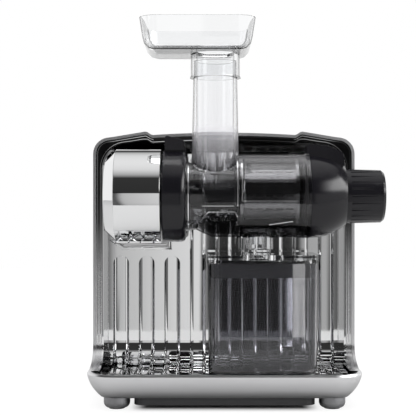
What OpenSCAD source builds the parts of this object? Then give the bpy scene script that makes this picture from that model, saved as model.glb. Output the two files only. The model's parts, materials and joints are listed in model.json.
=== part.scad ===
// Cold press juicer: a horizontal slow juicer in a square housing.
// A motor behind a ribbed backsplash turns an auger in a clear drum, through three pairs of gears.
// Units are millimetres. X runs along the drum from the motor pod to the knob, Y from front to back, Z up.
// The origin lies on the bench, under the middle of the whole object.

/* [Base] */
// Width of the base tray
base_w = 275; // [268:1:320]
// Depth of the base tray
base_d = 210; // [206:1:240]
// Height of the tray's lip above the bench
lip_z = 36.3; // [34:0.1:50]
// Height of the tray's underside above the bench
skirt_z = 11.8; // [9:0.1:14]
// Plan radius of the tray's corners
base_corner_r = 30; // [24:1:40]
// How far the tray's side curves in towards its underside
bowl_in = 14; // [8:0.5:18]
// Wall of the tray and thickness of its deck
tray_wall = 3; // [2:0.1:4]
// Radius of the feet
foot_r = 13.2; // [10:0.1:15]
// Distance of the feet from the tray's sides
foot_inset = 30.2; // [29:0.1:40]

/* [Housing] */
// Height of the housing's shoulders above the motor pod
head_room = 20.9; // [19:0.1:40]
// Fall of the middle of the top below the shoulders
shell_step = 3.6; // [2:0.1:6]
// Radius of the housing's top corners
shell_corner_r = 17; // [14:0.5:24]
// Wall of the housing
shell_wall = 3; // [2:0.1:4]
// Step from the tray's side in to the housing
shell_step_in = 1.4; // [0.5:0.1:3]
// Depth of the open cavity in front of the backsplash
cavity_d = 31; // [26:1:32]
// Depth of the drive compartment behind the backsplash
compartment_d = 105; // [95:1:110]
// Width of the dark band inside the housing's front edge
bezel_w = 6; // [4:0.5:10]

/* [Backsplash] */
// Thickness of the backsplash sheet
sheet_t = 1.5; // [1:0.1:2]
// Inside radius of the bend from the wall into the floor
bend_r = 24; // [15:1:30]
// Width of one pressed rib
rib_w = 17; // [12:0.5:20]
// Height of a rib above the sheet
rib_h = 2; // [1:0.1:3]
// Distance between ribs
rib_pitch = 27.3; // [22:0.1:28]

/* [Drive] */
// Distance of the drum's axis in front of the backsplash
axis_reach = 75; // [74:0.5:85]
// Outer radius of the motor pod
pod_r = 47; // [46.6:0.1:48]
// Length of the motor pod
pod_len = 55.5; // [55.5:0.5:60]
// Gap between the housing's side and the pod's end
pod_side_gap = 17.6; // [15:0.1:22]
// Outer radius of the black collar
collar_r = 45.5; // [43:0.1:46.5]
// Length of the black collar
collar_len = 23; // [22:0.5:28]
// Radius of the output shaft
output_shaft_r = 6; // [5:0.1:7]
// Outer radius of the motor
motor_r = 36; // [34:0.5:37]
// Length of the motor's iron core
stator_len = 50; // [40:1:60]
// Radius of the motor shaft
motor_shaft_r = 4; // [3:0.1:4.5]

/* [Drum] */
// Outer radius of the drum's neck
neck_r = 33.5; // [33:0.1:35]
// Length of the drum's neck
neck_len = 50; // [48:0.5:60]
// Outer radius of the drum's barrel
barrel_r = 41.75; // [41:0.05:43]
// Length of the drum's barrel
barrel_len = 72; // [66:0.5:80]
// Wall of the drum
drum_wall = 3; // [2:0.1:3.2]
// Radius of the feed chute's bore
chute_bore_r = 19; // [17:0.1:20]
// Wall of the feed chute
chute_wall = 2; // [1.5:0.1:2.5]
// Distance of the chute's axis from the drum's back
chute_x = 29.25; // [27:0.25:30]
// Height of the chute's top above the drum's axis
chute_h = 134; // [110:1:150]
// Running gap between the auger's flight and the drum
auger_gap = 1; // [0.6:0.1:1.5]
// Radius of the juice outlet
outlet_r = 14; // [11:0.5:15]
// Distance of the outlet's axis from the drum's back
outlet_x = 73; // [68:0.5:76]
// Length of the outlet below the drum
outlet_len = 13; // [8:0.5:20]
// Length of the end cap
cap_len = 36.5; // [34:0.5:42]
// Radius of the end cap at its outer end
cap_end_r = 29; // [28.5:0.5:34]
// Radius of the adjusting knob
knob_r = 27.2; // [26:0.1:29]
// Length of the adjusting knob
knob_len = 39; // [36:0.5:45]

/* [Hopper and container] */
// Width of the hopper tray
hopper_w = 113; // [95:1:125]
// Depth of the hopper tray
hopper_d = 100; // [90:1:100]
// Depth of the hopper tray's bowl
hopper_h = 29; // [20:1:40]
// Offset of the hopper's middle to the left of the chute
hopper_offset = 17.5; // [10:0.5:20]
// Width of the juice container
container_w = 109; // [90:1:110]
// Depth of the juice container
container_d = 80; // [70:1:90]
// Height of the juice container with its lid
container_h = 117; // [100:1:140]
// Gap between the container's lid and the outlet above it
lid_gap = 4.85; // [3:0.05:10]
// Wall of the hopper and the container
cup_wall = 2; // [1.5:0.1:2.5]
// Fit gap between loose parts
fit = 0.3; // [0.2:0.05:0.4]

/* [Hidden] */
$fn = 96;

eps = 0.01;
run = 0.05;             // radial running clearance of a shaft
side_play = 0.3;        // end play of what turns

// Base
base_x = base_w / 2;
base_y = base_d / 2;
rim_w = 4.5;            // width of the tray's flat lip
floor_z = lip_z - rib_h;
deck_z = floor_z - sheet_t;
plate_t = 3;
foot_x = base_x - foot_inset;
foot_y = base_y - foot_inset + 2.7;
pad_r = foot_r - 5.2;

// Housing
stand_gap = 0.1;        // the container stands this far above the ribs
channel_drop = 2;       // the drum's side lies this far below the juice channel's underside
shell_x = base_x - shell_step_in;
splash_y = base_y - compartment_d;
shell_front = splash_y - cavity_d;
outlet_z0 = lip_z + stand_gap + container_h + lid_gap;
channel_z = outlet_z0 + outlet_len;
axis_z = channel_z + barrel_r - channel_drop;
shoulder_z = axis_z + pod_r + head_room;
shoulder_x = 82;
corner_drop = 6.2;      // fall of the top from the shoulder to the corner
arch_rise = 2.5;
back_wall_y = base_y - shell_wall;
back_corner_r = base_corner_r - shell_step_in;
cover_x = shell_x - back_corner_r - 3;
cover_bottom = lip_z + 16;
cover_top = shoulder_z - 37.6;
ledge_w = 8;
screw_r = 2;
screw_head_r = 3.8;

// Bezel and backsplash
axis_y = splash_y - axis_reach;
bezel_x = shell_x - shell_wall - bezel_w;
sheet_x = bezel_x - 0.2;
ceiling_z = axis_z + pod_r + 0.5;
ceiling_rise = 11;
rib_count = floor((2 * sheet_x - rib_w) / rib_pitch) + 1;
short_ribs = 3;

// What lies along the drum's axis
pod_x0 = -shell_x + pod_side_gap;
pod_x1 = pod_x0 + pod_len;
ring_len = 10.5;
pod_wall = 2;
pod_chamfer = 12;
collar_x0 = pod_x1 + 1.5;
collar_x1 = collar_x0 + collar_len;
neck_x1 = collar_x1 + neck_len;
barrel_x1 = neck_x1 + barrel_len;
cap_x1 = barrel_x1 + cap_len;
knob_x1 = cap_x1 + knob_len;
neck_bore = neck_r - drum_wall;
barrel_bore = barrel_r - drum_wall;
spigot_r = neck_r - 2.5;
spigot_len = 12;
chute_cx = collar_x1 + chute_x;
chute_r = chute_bore_r + chute_wall;
chute_top = axis_z + chute_h;
outlet_cx = collar_x1 + outlet_x;
channel_half_d = 22;

// Origin of the frame
hopper_cx = chute_cx - hopper_offset;
hopper_front = axis_y - hopper_d / 2;
origin_x = (knob_x1 - base_x) / 2;
origin_y = (base_y + min(hopper_front, -base_y)) / 2;

// Gears: module, teeth, and centres as [y, z]
case_wall = 2.5;
case_clear = 1.2;
case_gap = 1.05;
out_teeth = [44, 14];
mid_teeth = [36, 14];
fast_teeth = [40, 12];
out_m = (pod_r - pod_wall - case_gap - case_wall - case_clear) / (out_teeth[0] / 2 + 1);
mid_m = out_m * 6 / 7;
fast_m = out_m * 5 / 7;
pressure = 25;
backlash = 0.2;
out_c = [axis_y, axis_z];
mid_c = out_c + gear_step(out_m, out_teeth, 0);
fast_c = mid_c + gear_step(mid_m, mid_teeth, -20);
motor_c = fast_c + gear_step(fast_m, fast_teeth, -20);

// Gear case, from its left wall to its cover
case_x0 = pod_x0 + ring_len + 1;
case_x1 = pod_x1 - 3;
cavity_x0 = case_x0 + 3.5;
cavity_x1 = case_x1 - 3;
out_w = 12;
mid_w = 8;
fast_w = 7;
out_x1 = cavity_x1 - 1;
mid_x1 = out_x1 - out_w - 1.5;
fast_x1 = mid_x1 - mid_w - 1.5;
case_circles = [[out_c, out_m * (out_teeth[0] / 2 + 1)], [mid_c, mid_m * (mid_teeth[0] / 2 + 1)],
  [fast_c, fast_m * (fast_teeth[0] / 2 + 1)], [motor_c, fast_m * (fast_teeth[1] / 2 + 1)]];
pin_r = 4;
bearing_r = 12;
bearing_w = 6;
seal_r = 9.5;

// Motor
bell_len = 24;
bell_wall = 3;
bracket_t = 3;
bell_x0 = case_x1 + bracket_t;
stator_x0 = bell_x0 + bell_len;
stator_x1 = stator_x0 + stator_len;
air_gap = 0.4;
rotor_r = motor_r - 16;
motor_bearing_r = 11;
motor_bearing_w = 7;
shaft_x1 = stator_x1 + bell_len + 20;

// Latch
latch_travel = 3;
latch_x0 = collar_x0 + 2;
latch_len = 20;
latch_w = 24;
latch_h = 14.5;
latch_base_z = axis_z + collar_r - 0.2;
slot_w = 6.4;
keel_x0 = collar_x0 + 10;
keel_z = axis_z + spigot_r + 0.2;
nose_len = 1.8;
spring_wire_r = 0.4;
spring_r = 2.2;

// Hopper and container
hopper_z0 = chute_top + 8;
hopper_z1 = hopper_z0 + hopper_h + 2;
hopper_neck_r = chute_r + 3.5;
hopper_neck_z = chute_top - 16;
container_cx = outlet_cx + 3;
container_taper = 1;
container_cy = splash_y - sheet_t - bend_r - container_d / 2 + container_taper - fit;
container_z0 = lip_z + stand_gap;
lid_z0 = container_z0 + container_h - 8.4;
seal_h = 15;
container_corner_r = 14;

// Control parts
switch_y = base_y - 40;
switch_z = lip_z + 110;
gland_x = base_x - 77.5;
gland_z = lip_z + 40;
gland_hole_r = 4;

silver = [0.78, 0.78, 0.79];
chrome = [0.86, 0.87, 0.88];
gloss_black = [0.07, 0.07, 0.08];
dark = [0.16, 0.16, 0.17];
clear = [0.85, 0.88, 0.9, 0.35];
smoke = [0.35, 0.35, 0.37, 0.5];
steel = [0.6, 0.61, 0.62];
copper = [0.72, 0.42, 0.22];
rubber = [0.1, 0.1, 0.1];
nylon = [0.9, 0.89, 0.84];

// ---------- Helpers ----------

module in_frame() translate([-origin_x, -origin_y, 0]) children();

// Extrudes a drawing in Y and Z along X.
module along_x(x0, x1) translate([x0, 0, 0]) rotate([90, 0, 90]) linear_extrude(x1 - x0) children();

// Extrudes a drawing in X and Z along Y.
module along_y(y0, y1) translate([0, y1, 0]) rotate([90, 0, 0]) linear_extrude(y1 - y0) children();

module along_z(z0, z1) translate([0, 0, z0]) linear_extrude(z1 - z0) children();

// Turns a profile of [radius, x] points round an axis that runs along X.
module lathe_x(c) translate([0, c[0], c[1]]) rotate([90, 0, 90]) rotate_extrude() children();

module rod(c, r, x0, x1) translate([x0, c[0], c[1]]) rotate([0, 90, 0]) cylinder(r = r, h = x1 - x0);

module post(x, y, r, z0, z1) translate([x, y, z0]) cylinder(r = r, h = z1 - z0);

module box(x0, x1, y0, y1, z0, z1) translate([x0, y0, z0]) cube([x1 - x0, y1 - y0, z1 - z0]);

module round_rect(x0, x1, y0, y1, r) {
  for (x = [x0 + r, x1 - r], y = [y0 + r, y1 - r]) translate([x, y]) circle(r);
  translate([x0 + r, y0]) square([x1 - x0 - 2 * r, y1 - y0]);
  translate([x0, y0 + r]) square([x1 - x0, y1 - y0 - 2 * r]);
}

// A pair of circles with two lines that run along both, a hair inside them.
module capsule(a, ra, b, rb) {
  d = norm(b - a);
  turn = atan2(b[1] - a[1], b[0] - a[0]);
  lean = acos((ra - rb) / d);
  hair = 0.02;
  translate(a) circle(ra);
  translate(b) circle(rb);
  polygon([a + (ra - hair) * dir(turn + lean), a + (ra - hair) * dir(turn - lean),
    b + (rb - hair) * dir(turn - lean), b + (rb - hair) * dir(turn + lean)]);
}

function dir(a) = [cos(a), sin(a)];
function bezier(p, n) = [for (i = [0:n]) let (t = i / n)
  (1 - t) * (1 - t) * p[0] + 2 * t * (1 - t) * p[1] + t * t * p[2]];
function arc(c, r, a0, a1, n) = [for (i = [0:n]) c + r * dir(a0 + (a1 - a0) * i / n)];
function smooth(t) = let (u = min(1, max(0, t))) u * u * (3 - 2 * u);
function gear_step(m, teeth, angle) = m * (teeth[0] + teeth[1]) / 2 * dir(angle);
function mirrored(points) = [for (i = [len(points) - 1:-1:0]) [-points[i][0], points[i][1]]];

// ---------- Gears ----------

function involute_at(base_r, r) = let (t = sqrt(max(0, r * r / (base_r * base_r) - 1)))
  t * 180 / PI - atan(t);

// One gear as a flat outline, with a tooth at the angle phase, or a space there if gap is true.
module gear_outline(m, n, phase, gap) {
  pitch_r = m * n / 2;
  base_r = pitch_r * cos(pressure);
  root_r = pitch_r - 1.2 * m;
  tip_r = pitch_r + 0.95 * m;
  half = 90 / n - backlash / 2 / pitch_r * 180 / PI + involute_at(base_r, pitch_r);
  start_r = max(root_r, base_r);
  flank = [for (i = [0:4]) let (r = start_r + (tip_r - start_r) * i / 4) [r, half - involute_at(base_r, r)]];
  shift = gap ? 180 / n : 0;
  polygon([for (k = [0:n - 1]) let (mid = phase + shift + k * 360 / n)
    each concat([root_r * dir(mid - half)], [for (f = flank) f[0] * dir(mid - f[1])],
      [for (i = [4:-1:0]) flank[i][0] * dir(mid + flank[i][1])], [root_r * dir(mid + half)])]);
}

module gear(c, m, n, phase, gap, x0, x1) along_x(x0, x1) translate(c) gear_outline(m, n, phase, gap);

// ---------- Housing ----------

// Height of the housing's top at a distance x from its middle, drawn in by inset.
function top_at(x, inset) = let (a = abs(x),
  shoulder = shoulder_z - corner_drop * (a - shoulder_x) / (shell_x - shell_corner_r - shoulder_x),
  arch = shoulder_z - shell_step + arch_rise * (1 - pow(a / 75, 2)))
  -inset + arch + (shoulder - arch) * smooth((a - 74) / 8);

// Front view outline of the housing, drawn in by inset.
module shell_outline(inset, bottom, round_r = 0) {
  r = round_r > 0 ? round_r : shell_corner_r - min(inset, shell_corner_r - 3);
  x_corner = shell_x - inset - r;
  slope = atan(corner_drop / (shell_x - shell_corner_r - shoulder_x));
  corner = arc([x_corner, top_at(x_corner, inset) - r], r, 0, 90 - slope, 8);
  steps = [for (x = [x_corner - 4:-4:86]) x];
  top = [for (x = concat(steps, [84, 82, 80, 78, 76, 74, 70, 50, 25, 0])) [x, top_at(x, inset)]];
  right = concat([[shell_x - inset, bottom]], corner, top);
  polygon(concat(right, mirrored([for (i = [0:len(right) - 2]) right[i]])));
}

// Side view of the housing: its front edge sweeps forward at the bottom.
sweep_d = 44;
sweep_h = 21;
module side_profile(inset, top) {
  front = shell_front + inset;
  sweep = [for (i = [0:8]) let (a = i * 90 / 8)
    [front - sweep_d * (1 - sin(a)), lip_z + sweep_h * (1 - cos(a))]];
  polygon(concat([[base_y, lip_z]], [[base_y, top], [front, top]], [for (i = [8:-1:0]) sweep[i]]));
}

module shell_plan(inset) round_rect(-shell_x + inset, shell_x - inset, -base_y - 60,
  base_y - inset, back_corner_r - inset);

module rear_shell() color(silver) in_frame() difference() {
  union() {
    shell_body();
    along_y(back_wall_y - 3, back_wall_y) difference() {
      round_rect(-cover_x - 4, cover_x + 4, cover_bottom - 4, cover_top + 4, 8);
      round_rect(-cover_x + ledge_w, cover_x - ledge_w, cover_bottom + ledge_w, cover_top - ledge_w, 5);
    }
  }
  cover_holes(screw_r, back_wall_y - 4, back_wall_y + 1);
}

module shell_body() difference() {
  intersection() {
    along_y(-base_y, base_y) shell_outline(0, lip_z);
    along_z(lip_z, shoulder_z + 5) shell_plan(0);
    along_x(-shell_x, shell_x) side_profile(0, shoulder_z + 5);
  }
  intersection() {
    along_y(-base_y - 5, back_wall_y) shell_outline(shell_wall, lip_z - 5);
    along_z(lip_z - 5, shoulder_z) shell_plan(shell_wall);
  }
  along_y(back_wall_y - 1, base_y + 1) round_rect(-cover_x, cover_x, cover_bottom, cover_top, 8);
  along_z(shoulder_z - 30, shoulder_z + 5) cup_plan(-fit);
  box(shell_x - 8, shell_x + 1, switch_y - body_w / 2 - 0.2, switch_y + body_w / 2 + 0.2,
    switch_z - body_h / 2 - 0.2, switch_z + body_h / 2 + 0.2);
}

module cover_holes(r, y0, y1) for (x = [-cover_x + 4, cover_x - 4], z = [cover_bottom + 14, cover_top - 14])
  translate([x, y1, z]) rotate([90, 0, 0]) cylinder(r = r, h = y1 - y0, $fn = 32);

vent_count = 9;
module back_cover() color(dark) in_frame() difference() {
  union() {
    along_y(back_wall_y, base_y - 0.4) round_rect(-cover_x + fit, cover_x - fit, cover_bottom + fit,
      cover_top - fit, 8 - fit);
    along_y(back_wall_y - 2, back_wall_y) round_rect(-cover_x + ledge_w + fit, cover_x - ledge_w - fit,
      cover_bottom + ledge_w + fit, cover_top - ledge_w - fit, 5 - fit);
  }
  for (side = [-1, 1], i = [0:vent_count - 1])
    along_y(back_wall_y - 3, base_y) translate([side * 55, axis_z - 60 + i * 9])
      round_rect(-32, 32, -2, 2, 1.9);
  cover_holes(screw_r + 0.2, back_wall_y - 4, base_y + 1);
  translate([gland_x, base_y, gland_z]) rotate([90, 0, 0]) cylinder(r = 9 + fit, h = 12);
}

module back_cover_screws() color(steel) in_frame() {
  cover_holes(screw_r, back_wall_y - 4, base_y - 0.4);
  cover_holes(screw_head_r, base_y - 0.4, base_y);
}

mouth_r = 26;
trim_w = 2;
trim_depth = 4;
bezel_lip = trim_depth + 1.3;
module shell_bezel() color(gloss_black) in_frame() difference() {
  intersection() {
    along_y(shell_front - sweep_d, splash_y) shell_outline(shell_wall, lip_z);
    along_x(-shell_x, shell_x) side_profile(1.2, shoulder_z + 5);
  }
  difference() {
    union() {
      along_y(-base_y, shell_front + bezel_lip + 1) shell_outline(shell_wall + bezel_w, lip_z - 5, mouth_r);
      along_y(shell_front + bezel_lip, splash_y + 1) shell_outline(shell_wall + bezel_w, lip_z - 5);
    }
    along_x(-shell_x, shell_x) polygon(concat([[splash_y + 2, shoulder_z], [splash_y + 2, ceiling_z]],
      bezier([[splash_y - sheet_t, ceiling_z], [splash_y - 0.6 * cavity_d, ceiling_z + 1],
        [shell_front + 1.2, ceiling_z + ceiling_rise]], 8),
      [[shell_front - 5, ceiling_z + ceiling_rise], [shell_front - 5, shoulder_z]]));
  }
}

module bezel_trim() color(chrome) in_frame() difference() {
  intersection() {
    along_y(shell_front - sweep_d, shell_front + 6) shell_outline(shell_wall + bezel_w, lip_z, mouth_r);
    along_x(-shell_x, shell_x) side_profile(1.2, shoulder_z + 5);
    along_x(-shell_x, shell_x) difference() {
      side_profile(1.2, shoulder_z + 5);
      side_profile(trim_depth + 1.2, shoulder_z + 6);
    }
  }
  along_y(-base_y, splash_y) shell_outline(shell_wall + bezel_w + trim_w, lip_z - 5, mouth_r - trim_w);
  box(-shell_x, shell_x, -base_y, splash_y, ceiling_z + 1, shoulder_z);
}

// The L-shaped run of the backsplash in side view.
bend_c = [splash_y - sheet_t - bend_r, floor_z + bend_r];
floor_front = -base_y + rim_w + 0.3;
module sheet_run(proud) {
  r = bend_r - proud;
  translate([splash_y - sheet_t - proud, bend_c[1]]) square([sheet_t + proud, ceiling_z - 1.5 - bend_c[1]]);
  translate([floor_front, deck_z]) square([bend_c[0] - floor_front, sheet_t + proud]);
  translate(bend_c) intersection() {
    difference() {
      circle(bend_r + sheet_t);
      circle(r);
    }
    translate([0, -bend_r - sheet_t]) square(bend_r + sheet_t);
  }
}

// One rib's cross-section: a flat land with round sides on the line y = 0, standing towards -Y.
rib_side = 4;
rib_side_r = (rib_side * rib_side + rib_h * rib_h) / (2 * rib_h);
module rib_section() intersection() {
  union() {
    for (side = [-1, 1]) translate([side * (rib_w / 2 - rib_side), rib_side_r - rib_h])
      circle(r = rib_side_r, $fn = 64);
    translate([-rib_w / 2 + rib_side, -rib_h]) square([rib_w - 2 * rib_side, rib_h + sheet_t / 2]);
  }
  translate([-rib_w / 2, -rib_h]) square([rib_w, rib_h + sheet_t / 2]);
}

module rib(x, top) translate([x, 0, 0]) {
  intersection() {
    translate([0, splash_y - sheet_t, 0]) along_z(bend_c[1], top) rib_section();
    along_y(splash_y - 10, splash_y) {
      translate([0, top - rib_w / 2]) circle(rib_w / 2);
      translate([-rib_w / 2, 0]) square([rib_w, top - rib_w / 2]);
    }
  }
  translate([0, bend_c[0], bend_c[1]]) rotate([0, 90, 0]) rotate_extrude(angle = 90)
    translate([bend_r, 0]) rotate(-90) rib_section();
  intersection() {
    translate([0, bend_c[0], floor_z]) rotate([90, 0, 0]) linear_extrude(bend_c[0] - floor_front - 2)
      mirror([0, 1]) rib_section();
    along_z(deck_z, lip_z + 1) {
      translate([0, floor_front + 2 + rib_w / 2]) circle(rib_w / 2);
      translate([-rib_w / 2, floor_front + 2 + rib_w / 2]) square([rib_w, -floor_front]);
    }
  }
}

// The pod's outline in side view: round in front, straight back to the backsplash.
module pod_side(r, back) {
  translate(out_c) circle(r);
  translate([axis_y, axis_z - r]) square([back - axis_y, 2 * r]);
}

module backsplash() color(chrome) in_frame() difference() {
  union() {
    intersection() {
      along_x(-sheet_x, sheet_x) sheet_run(0);
      along_z(deck_z - 1, ceiling_z + 1) round_rect(-base_x + rim_w + fit, base_x - rim_w - fit, floor_front,
        base_y, base_corner_r - rim_w - fit);
    }
    for (x = [-sheet_x, sheet_x - sheet_t]) along_x(x, x + sheet_t)
      intersection() {
        side_profile(trim_depth + 1.5, ceiling_z - 5);
        translate([-base_y, deck_z]) square([base_y + splash_y, ceiling_z]);
      }
    for (i = [0:rib_count - 1])
      rib((i - (rib_count - 1) / 2) * rib_pitch, i < short_ribs ? pod_trim_z - 6.5 : ceiling_z - 2);
  }
  along_x(pod_x0 + 4, pod_x1 - 2) pod_side(pod_r - pod_wall - 1, splash_y + 1);
}

// ---------- Base ----------

// A rounded block whose side follows a profile of [inset, z].
module bowl(half_w, half_d, r, profile) {
  top = profile[len(profile) - 1][1];
  bottom = profile[0][1];
  for (x = [-1, 1], y = [-1, 1]) translate([x * (half_w - r), y * (half_d - r), 0])
    rotate_extrude() polygon(concat([[0, bottom]], [for (p = profile) [r - p[0], p[1]]], [[0, top]]));
  along_x(-half_w + r, half_w - r) polygon(concat([for (p = profile) [half_d - p[0], p[1]]],
    mirrored([for (p = profile) [half_d - p[0], p[1]]])));
  along_y(-half_d + r, half_d - r) polygon(concat([for (p = profile) [half_w - p[0], p[1]]],
    mirrored([for (p = profile) [half_w - p[0], p[1]]])));
}

bowl_profile = concat(bezier([[bowl_in, skirt_z], [bowl_in * 0.18, lip_z - 15], [0, lip_z - 2]], 8),
  [[0.9, lip_z]]);
under_deck_z = deck_z - tray_wall;
hollow_profile = concat([[bowl_in, skirt_z - 1]], [for (p = bowl_profile) if (p[1] < under_deck_z - 1) p],
  [[0.5, under_deck_z]]);
plate_inset = bowl_in + 3;

module base_screw_places() for (x = [-1, 1], y = [-1, 1])
  translate([x * foot_x, y * (foot_y - 42), 0]) children();

module base_tray() color(silver) in_frame() difference() {
  union() {
    difference() {
      bowl(base_x, base_y, base_corner_r, bowl_profile);
      bowl(base_x - tray_wall, base_y - tray_wall, base_corner_r - tray_wall, hollow_profile);
    }
    base_screw_places() post(0, 0, 5, skirt_z + plate_t, deck_z - 1);
  }
  along_z(deck_z, lip_z + 1) round_rect(-base_x + rim_w, base_x - rim_w, -base_y + rim_w, base_y - rim_w,
    base_corner_r - rim_w);
  along_z(skirt_z - 1, skirt_z + plate_t) round_rect(-base_x + plate_inset - fit, base_x - plate_inset + fit,
    -base_y + plate_inset - fit, base_y - plate_inset + fit, base_corner_r - plate_inset + fit);
  base_screw_places() post(0, 0, screw_r, skirt_z, deck_z - 2);
}

pan_z = 4;
module base_plate() color(dark) in_frame() difference() {
  union() {
    along_z(skirt_z, skirt_z + plate_t) round_rect(-base_x + plate_inset, base_x - plate_inset,
      -base_y + plate_inset, base_y - plate_inset, base_corner_r - plate_inset);
    along_z(pan_z, skirt_z) round_rect(-foot_x + foot_r + 4, foot_x - foot_r - 4, -foot_y - foot_r + 4,
      foot_y + foot_r - 4, 10);
  }
  along_z(pan_z + 2.5, skirt_z + plate_t + 1) round_rect(-foot_x + foot_r + 6.5, foot_x - foot_r - 6.5,
    -foot_y - foot_r + 6.5, foot_y + foot_r - 6.5, 7.5);
  for (i = [-4:4]) along_z(pan_z - 1, pan_z + 4) translate([i * 14, 0]) round_rect(-2, 2, -25, 25, 1.9);
  base_screw_places() post(0, 0, screw_r + 0.2, skirt_z - 1, skirt_z + plate_t + 1);
}

module base_screws() color(steel) in_frame() base_screw_places() {
  post(0, 0, screw_r, skirt_z, deck_z - 3);
  post(0, 0, screw_head_r, skirt_z - 2.4, skirt_z);
}

module foot_places() for (x = [-1, 1], y = [-1, 1]) translate([x * foot_x, y * foot_y, 0]) children();

module feet() color(silver) in_frame() foot_places() difference() {
  rotate_extrude() polygon(concat([[0, 0.8]], [[pad_r, 0.8]],
    bezier([[foot_r - 4.5, 0.8], [foot_r - 0.6, 1.6], [foot_r, 6]], 5), [[foot_r, skirt_z], [0, skirt_z]]));
  post(0, 0, pad_r, 0, 2.8);
}

module foot_pads() color(rubber) in_frame() foot_places() post(0, 0, pad_r - 0.1, 0, 2.8);

// ---------- Handle ----------

cup_t = 2.5;
bar_d = 20;
bar_h = 16;
cup_x = 72;
cup_y0 = splash_y + 14;
cup_y1 = splash_y + 76;
cup_top = shoulder_z - shell_step - 1.6;
cup_bottom = cover_top + 1;
cup_r = 12;
module cup_plan(inset) round_rect(-cup_x + inset, cup_x - inset, cup_y0 + inset, cup_y1 - inset,
  cup_r - inset);

module handle_cup() color(dark) in_frame() difference() {
  along_z(cup_bottom, cup_top) cup_plan(0);
  along_z(cup_bottom + cup_t, cup_top + 1) cup_plan(cup_t);
}

module carry_handle() color(silver) in_frame() intersection() {
  bar_y = (cup_y0 + cup_y1) / 2;
  along_x(-cup_x + cup_t, cup_x - cup_t)
    round_rect(bar_y - bar_d / 2, bar_y + bar_d / 2, cup_top - bar_h, shoulder_z, 4);
  along_y(cup_y0, cup_y1) polygon(concat([for (x = [-cup_x:12:cup_x]) [x, top_at(x, 0.4)]],
    [[cup_x, cup_top - 14], [cup_x - 12, cup_top - 10], [-cup_x + 12, cup_top - 10],
      [-cup_x, cup_top - 14]]));
}

// ---------- Pod, collar and latch ----------

// Turns a closed profile of [radius, x] round the front of the pod and carries it straight to the back.
module pod_sweep(points, back) {
  lathe_x(out_c) polygon(points);
  for (side = [-1, 1]) translate([0, back, axis_z]) rotate([90, 0, 0]) linear_extrude(back - axis_y)
    polygon([for (p = points) [p[1], side * p[0]]]);
}

pod_back = splash_y - sheet_t;
trim_drop = 9.5;
pod_trim_z = axis_z - pod_r - trim_drop;
hub_r = 30;
boss_r = bearing_r + 3;

module pod_cover() color(chrome) in_frame() difference() {
  along_x(pod_x0 + ring_len, pod_x1) pod_side(pod_r, pod_back);
  along_x(pod_x0 + ring_len - 1, pod_x1 - pod_wall) pod_side(pod_r - pod_wall, pod_back + 1);
  rod(out_c, hub_r + 1, pod_x1 - 5, pod_x1 + 1);
}

module pod_end_ring() color(chrome) in_frame() {
  pod_sweep([[0, pod_x0], [pod_r - pod_chamfer, pod_x0], [pod_r - 0.8, pod_x0 + ring_len],
    [pod_r - 4, pod_x0 + ring_len], [pod_r - pod_chamfer - 1.5, pod_x0 + pod_wall], [0, pod_x0 + pod_wall]],
    pod_back);
}

// A flat plate with a chamfered corner, pressed proud of the backsplash round the pod's foot.
trim_rise = 8.5;
trim_cut = 11;
trim_over = 8;
module trim_outline(inset) polygon([[pod_x0 - 1.5 + inset, pod_trim_z + trim_rise + inset * 0.4],
  [pod_x0 + trim_cut + inset * 0.4, pod_trim_z + inset], [pod_x1 + trim_over - inset, pod_trim_z + inset],
  [pod_x1 + trim_over - inset, ceiling_z - 1], [pod_x0 - 1.5 + inset, ceiling_z - 1]]);

module pod_trim() color(chrome) in_frame() difference() {
  union() {
    along_y(pod_back - 2, pod_back) trim_outline(0);
    along_y(pod_back - 3.4, pod_back - 2) trim_outline(2.6);
  }
  along_x(pod_x0 - 0.2, pod_x1 + 0.2) pod_side(pod_r + 0.2, pod_back + 1);
}

module drive_collar() color(gloss_black) in_frame() difference() {
  union() {
    lathe_x(out_c) polygon(concat([[spigot_r + fit, collar_x0], [collar_r - 1, collar_x0],
      [collar_r, collar_x0 + 1]],
      bezier([[collar_r, collar_x1 - 6], [collar_r, collar_x1], [collar_r - 5, collar_x1]], 6),
      [[spigot_r + fit, collar_x1]]));
    lathe_x(out_c) polygon([[hub_r - 8, case_x1], [hub_r, case_x1], [hub_r, collar_x0],
      [collar_r - 1, collar_x0], [collar_r - 1, collar_x0 + 2.5], [hub_r - 8, collar_x0 + 2.5]]);
    box(latch_x0 - 1, latch_x0 + latch_len - 2, axis_y - latch_w / 2 + 2, axis_y + latch_w / 2 - 2,
      keel_z + 4, latch_base_z);
  }
  box(keel_x0 - 8, collar_x1 + 1, axis_y - slot_w / 2, axis_y + slot_w / 2, keel_z, latch_base_z + 5);
}

module lock_latch() color(gloss_black) in_frame() {
  x1 = latch_x0 + latch_len;
  along_y(axis_y - latch_w / 2, axis_y + latch_w / 2) polygon(concat([[latch_x0, latch_base_z + 0.2]],
    bezier([[latch_x0, latch_base_z + 12], [latch_x0, latch_base_z + latch_h],
      [latch_x0 + 3, latch_base_z + latch_h]], 4),
    bezier([[x1 - 2.5, latch_base_z + 10.6], [x1, latch_base_z + 10], [x1, latch_base_z + 7]], 4),
    [[x1, latch_base_z + 0.2]]));
  keel = slot_w / 2 - 0.2;
  box(keel_x0, collar_x1 - 0.2, axis_y - keel, axis_y + keel, keel_z + 0.2, latch_base_z + 1);
  box(collar_x1 - 1, collar_x1 + nose_len, axis_y - keel, axis_y + keel, keel_z + 0.2, keel_z + 2.4);
}

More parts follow.
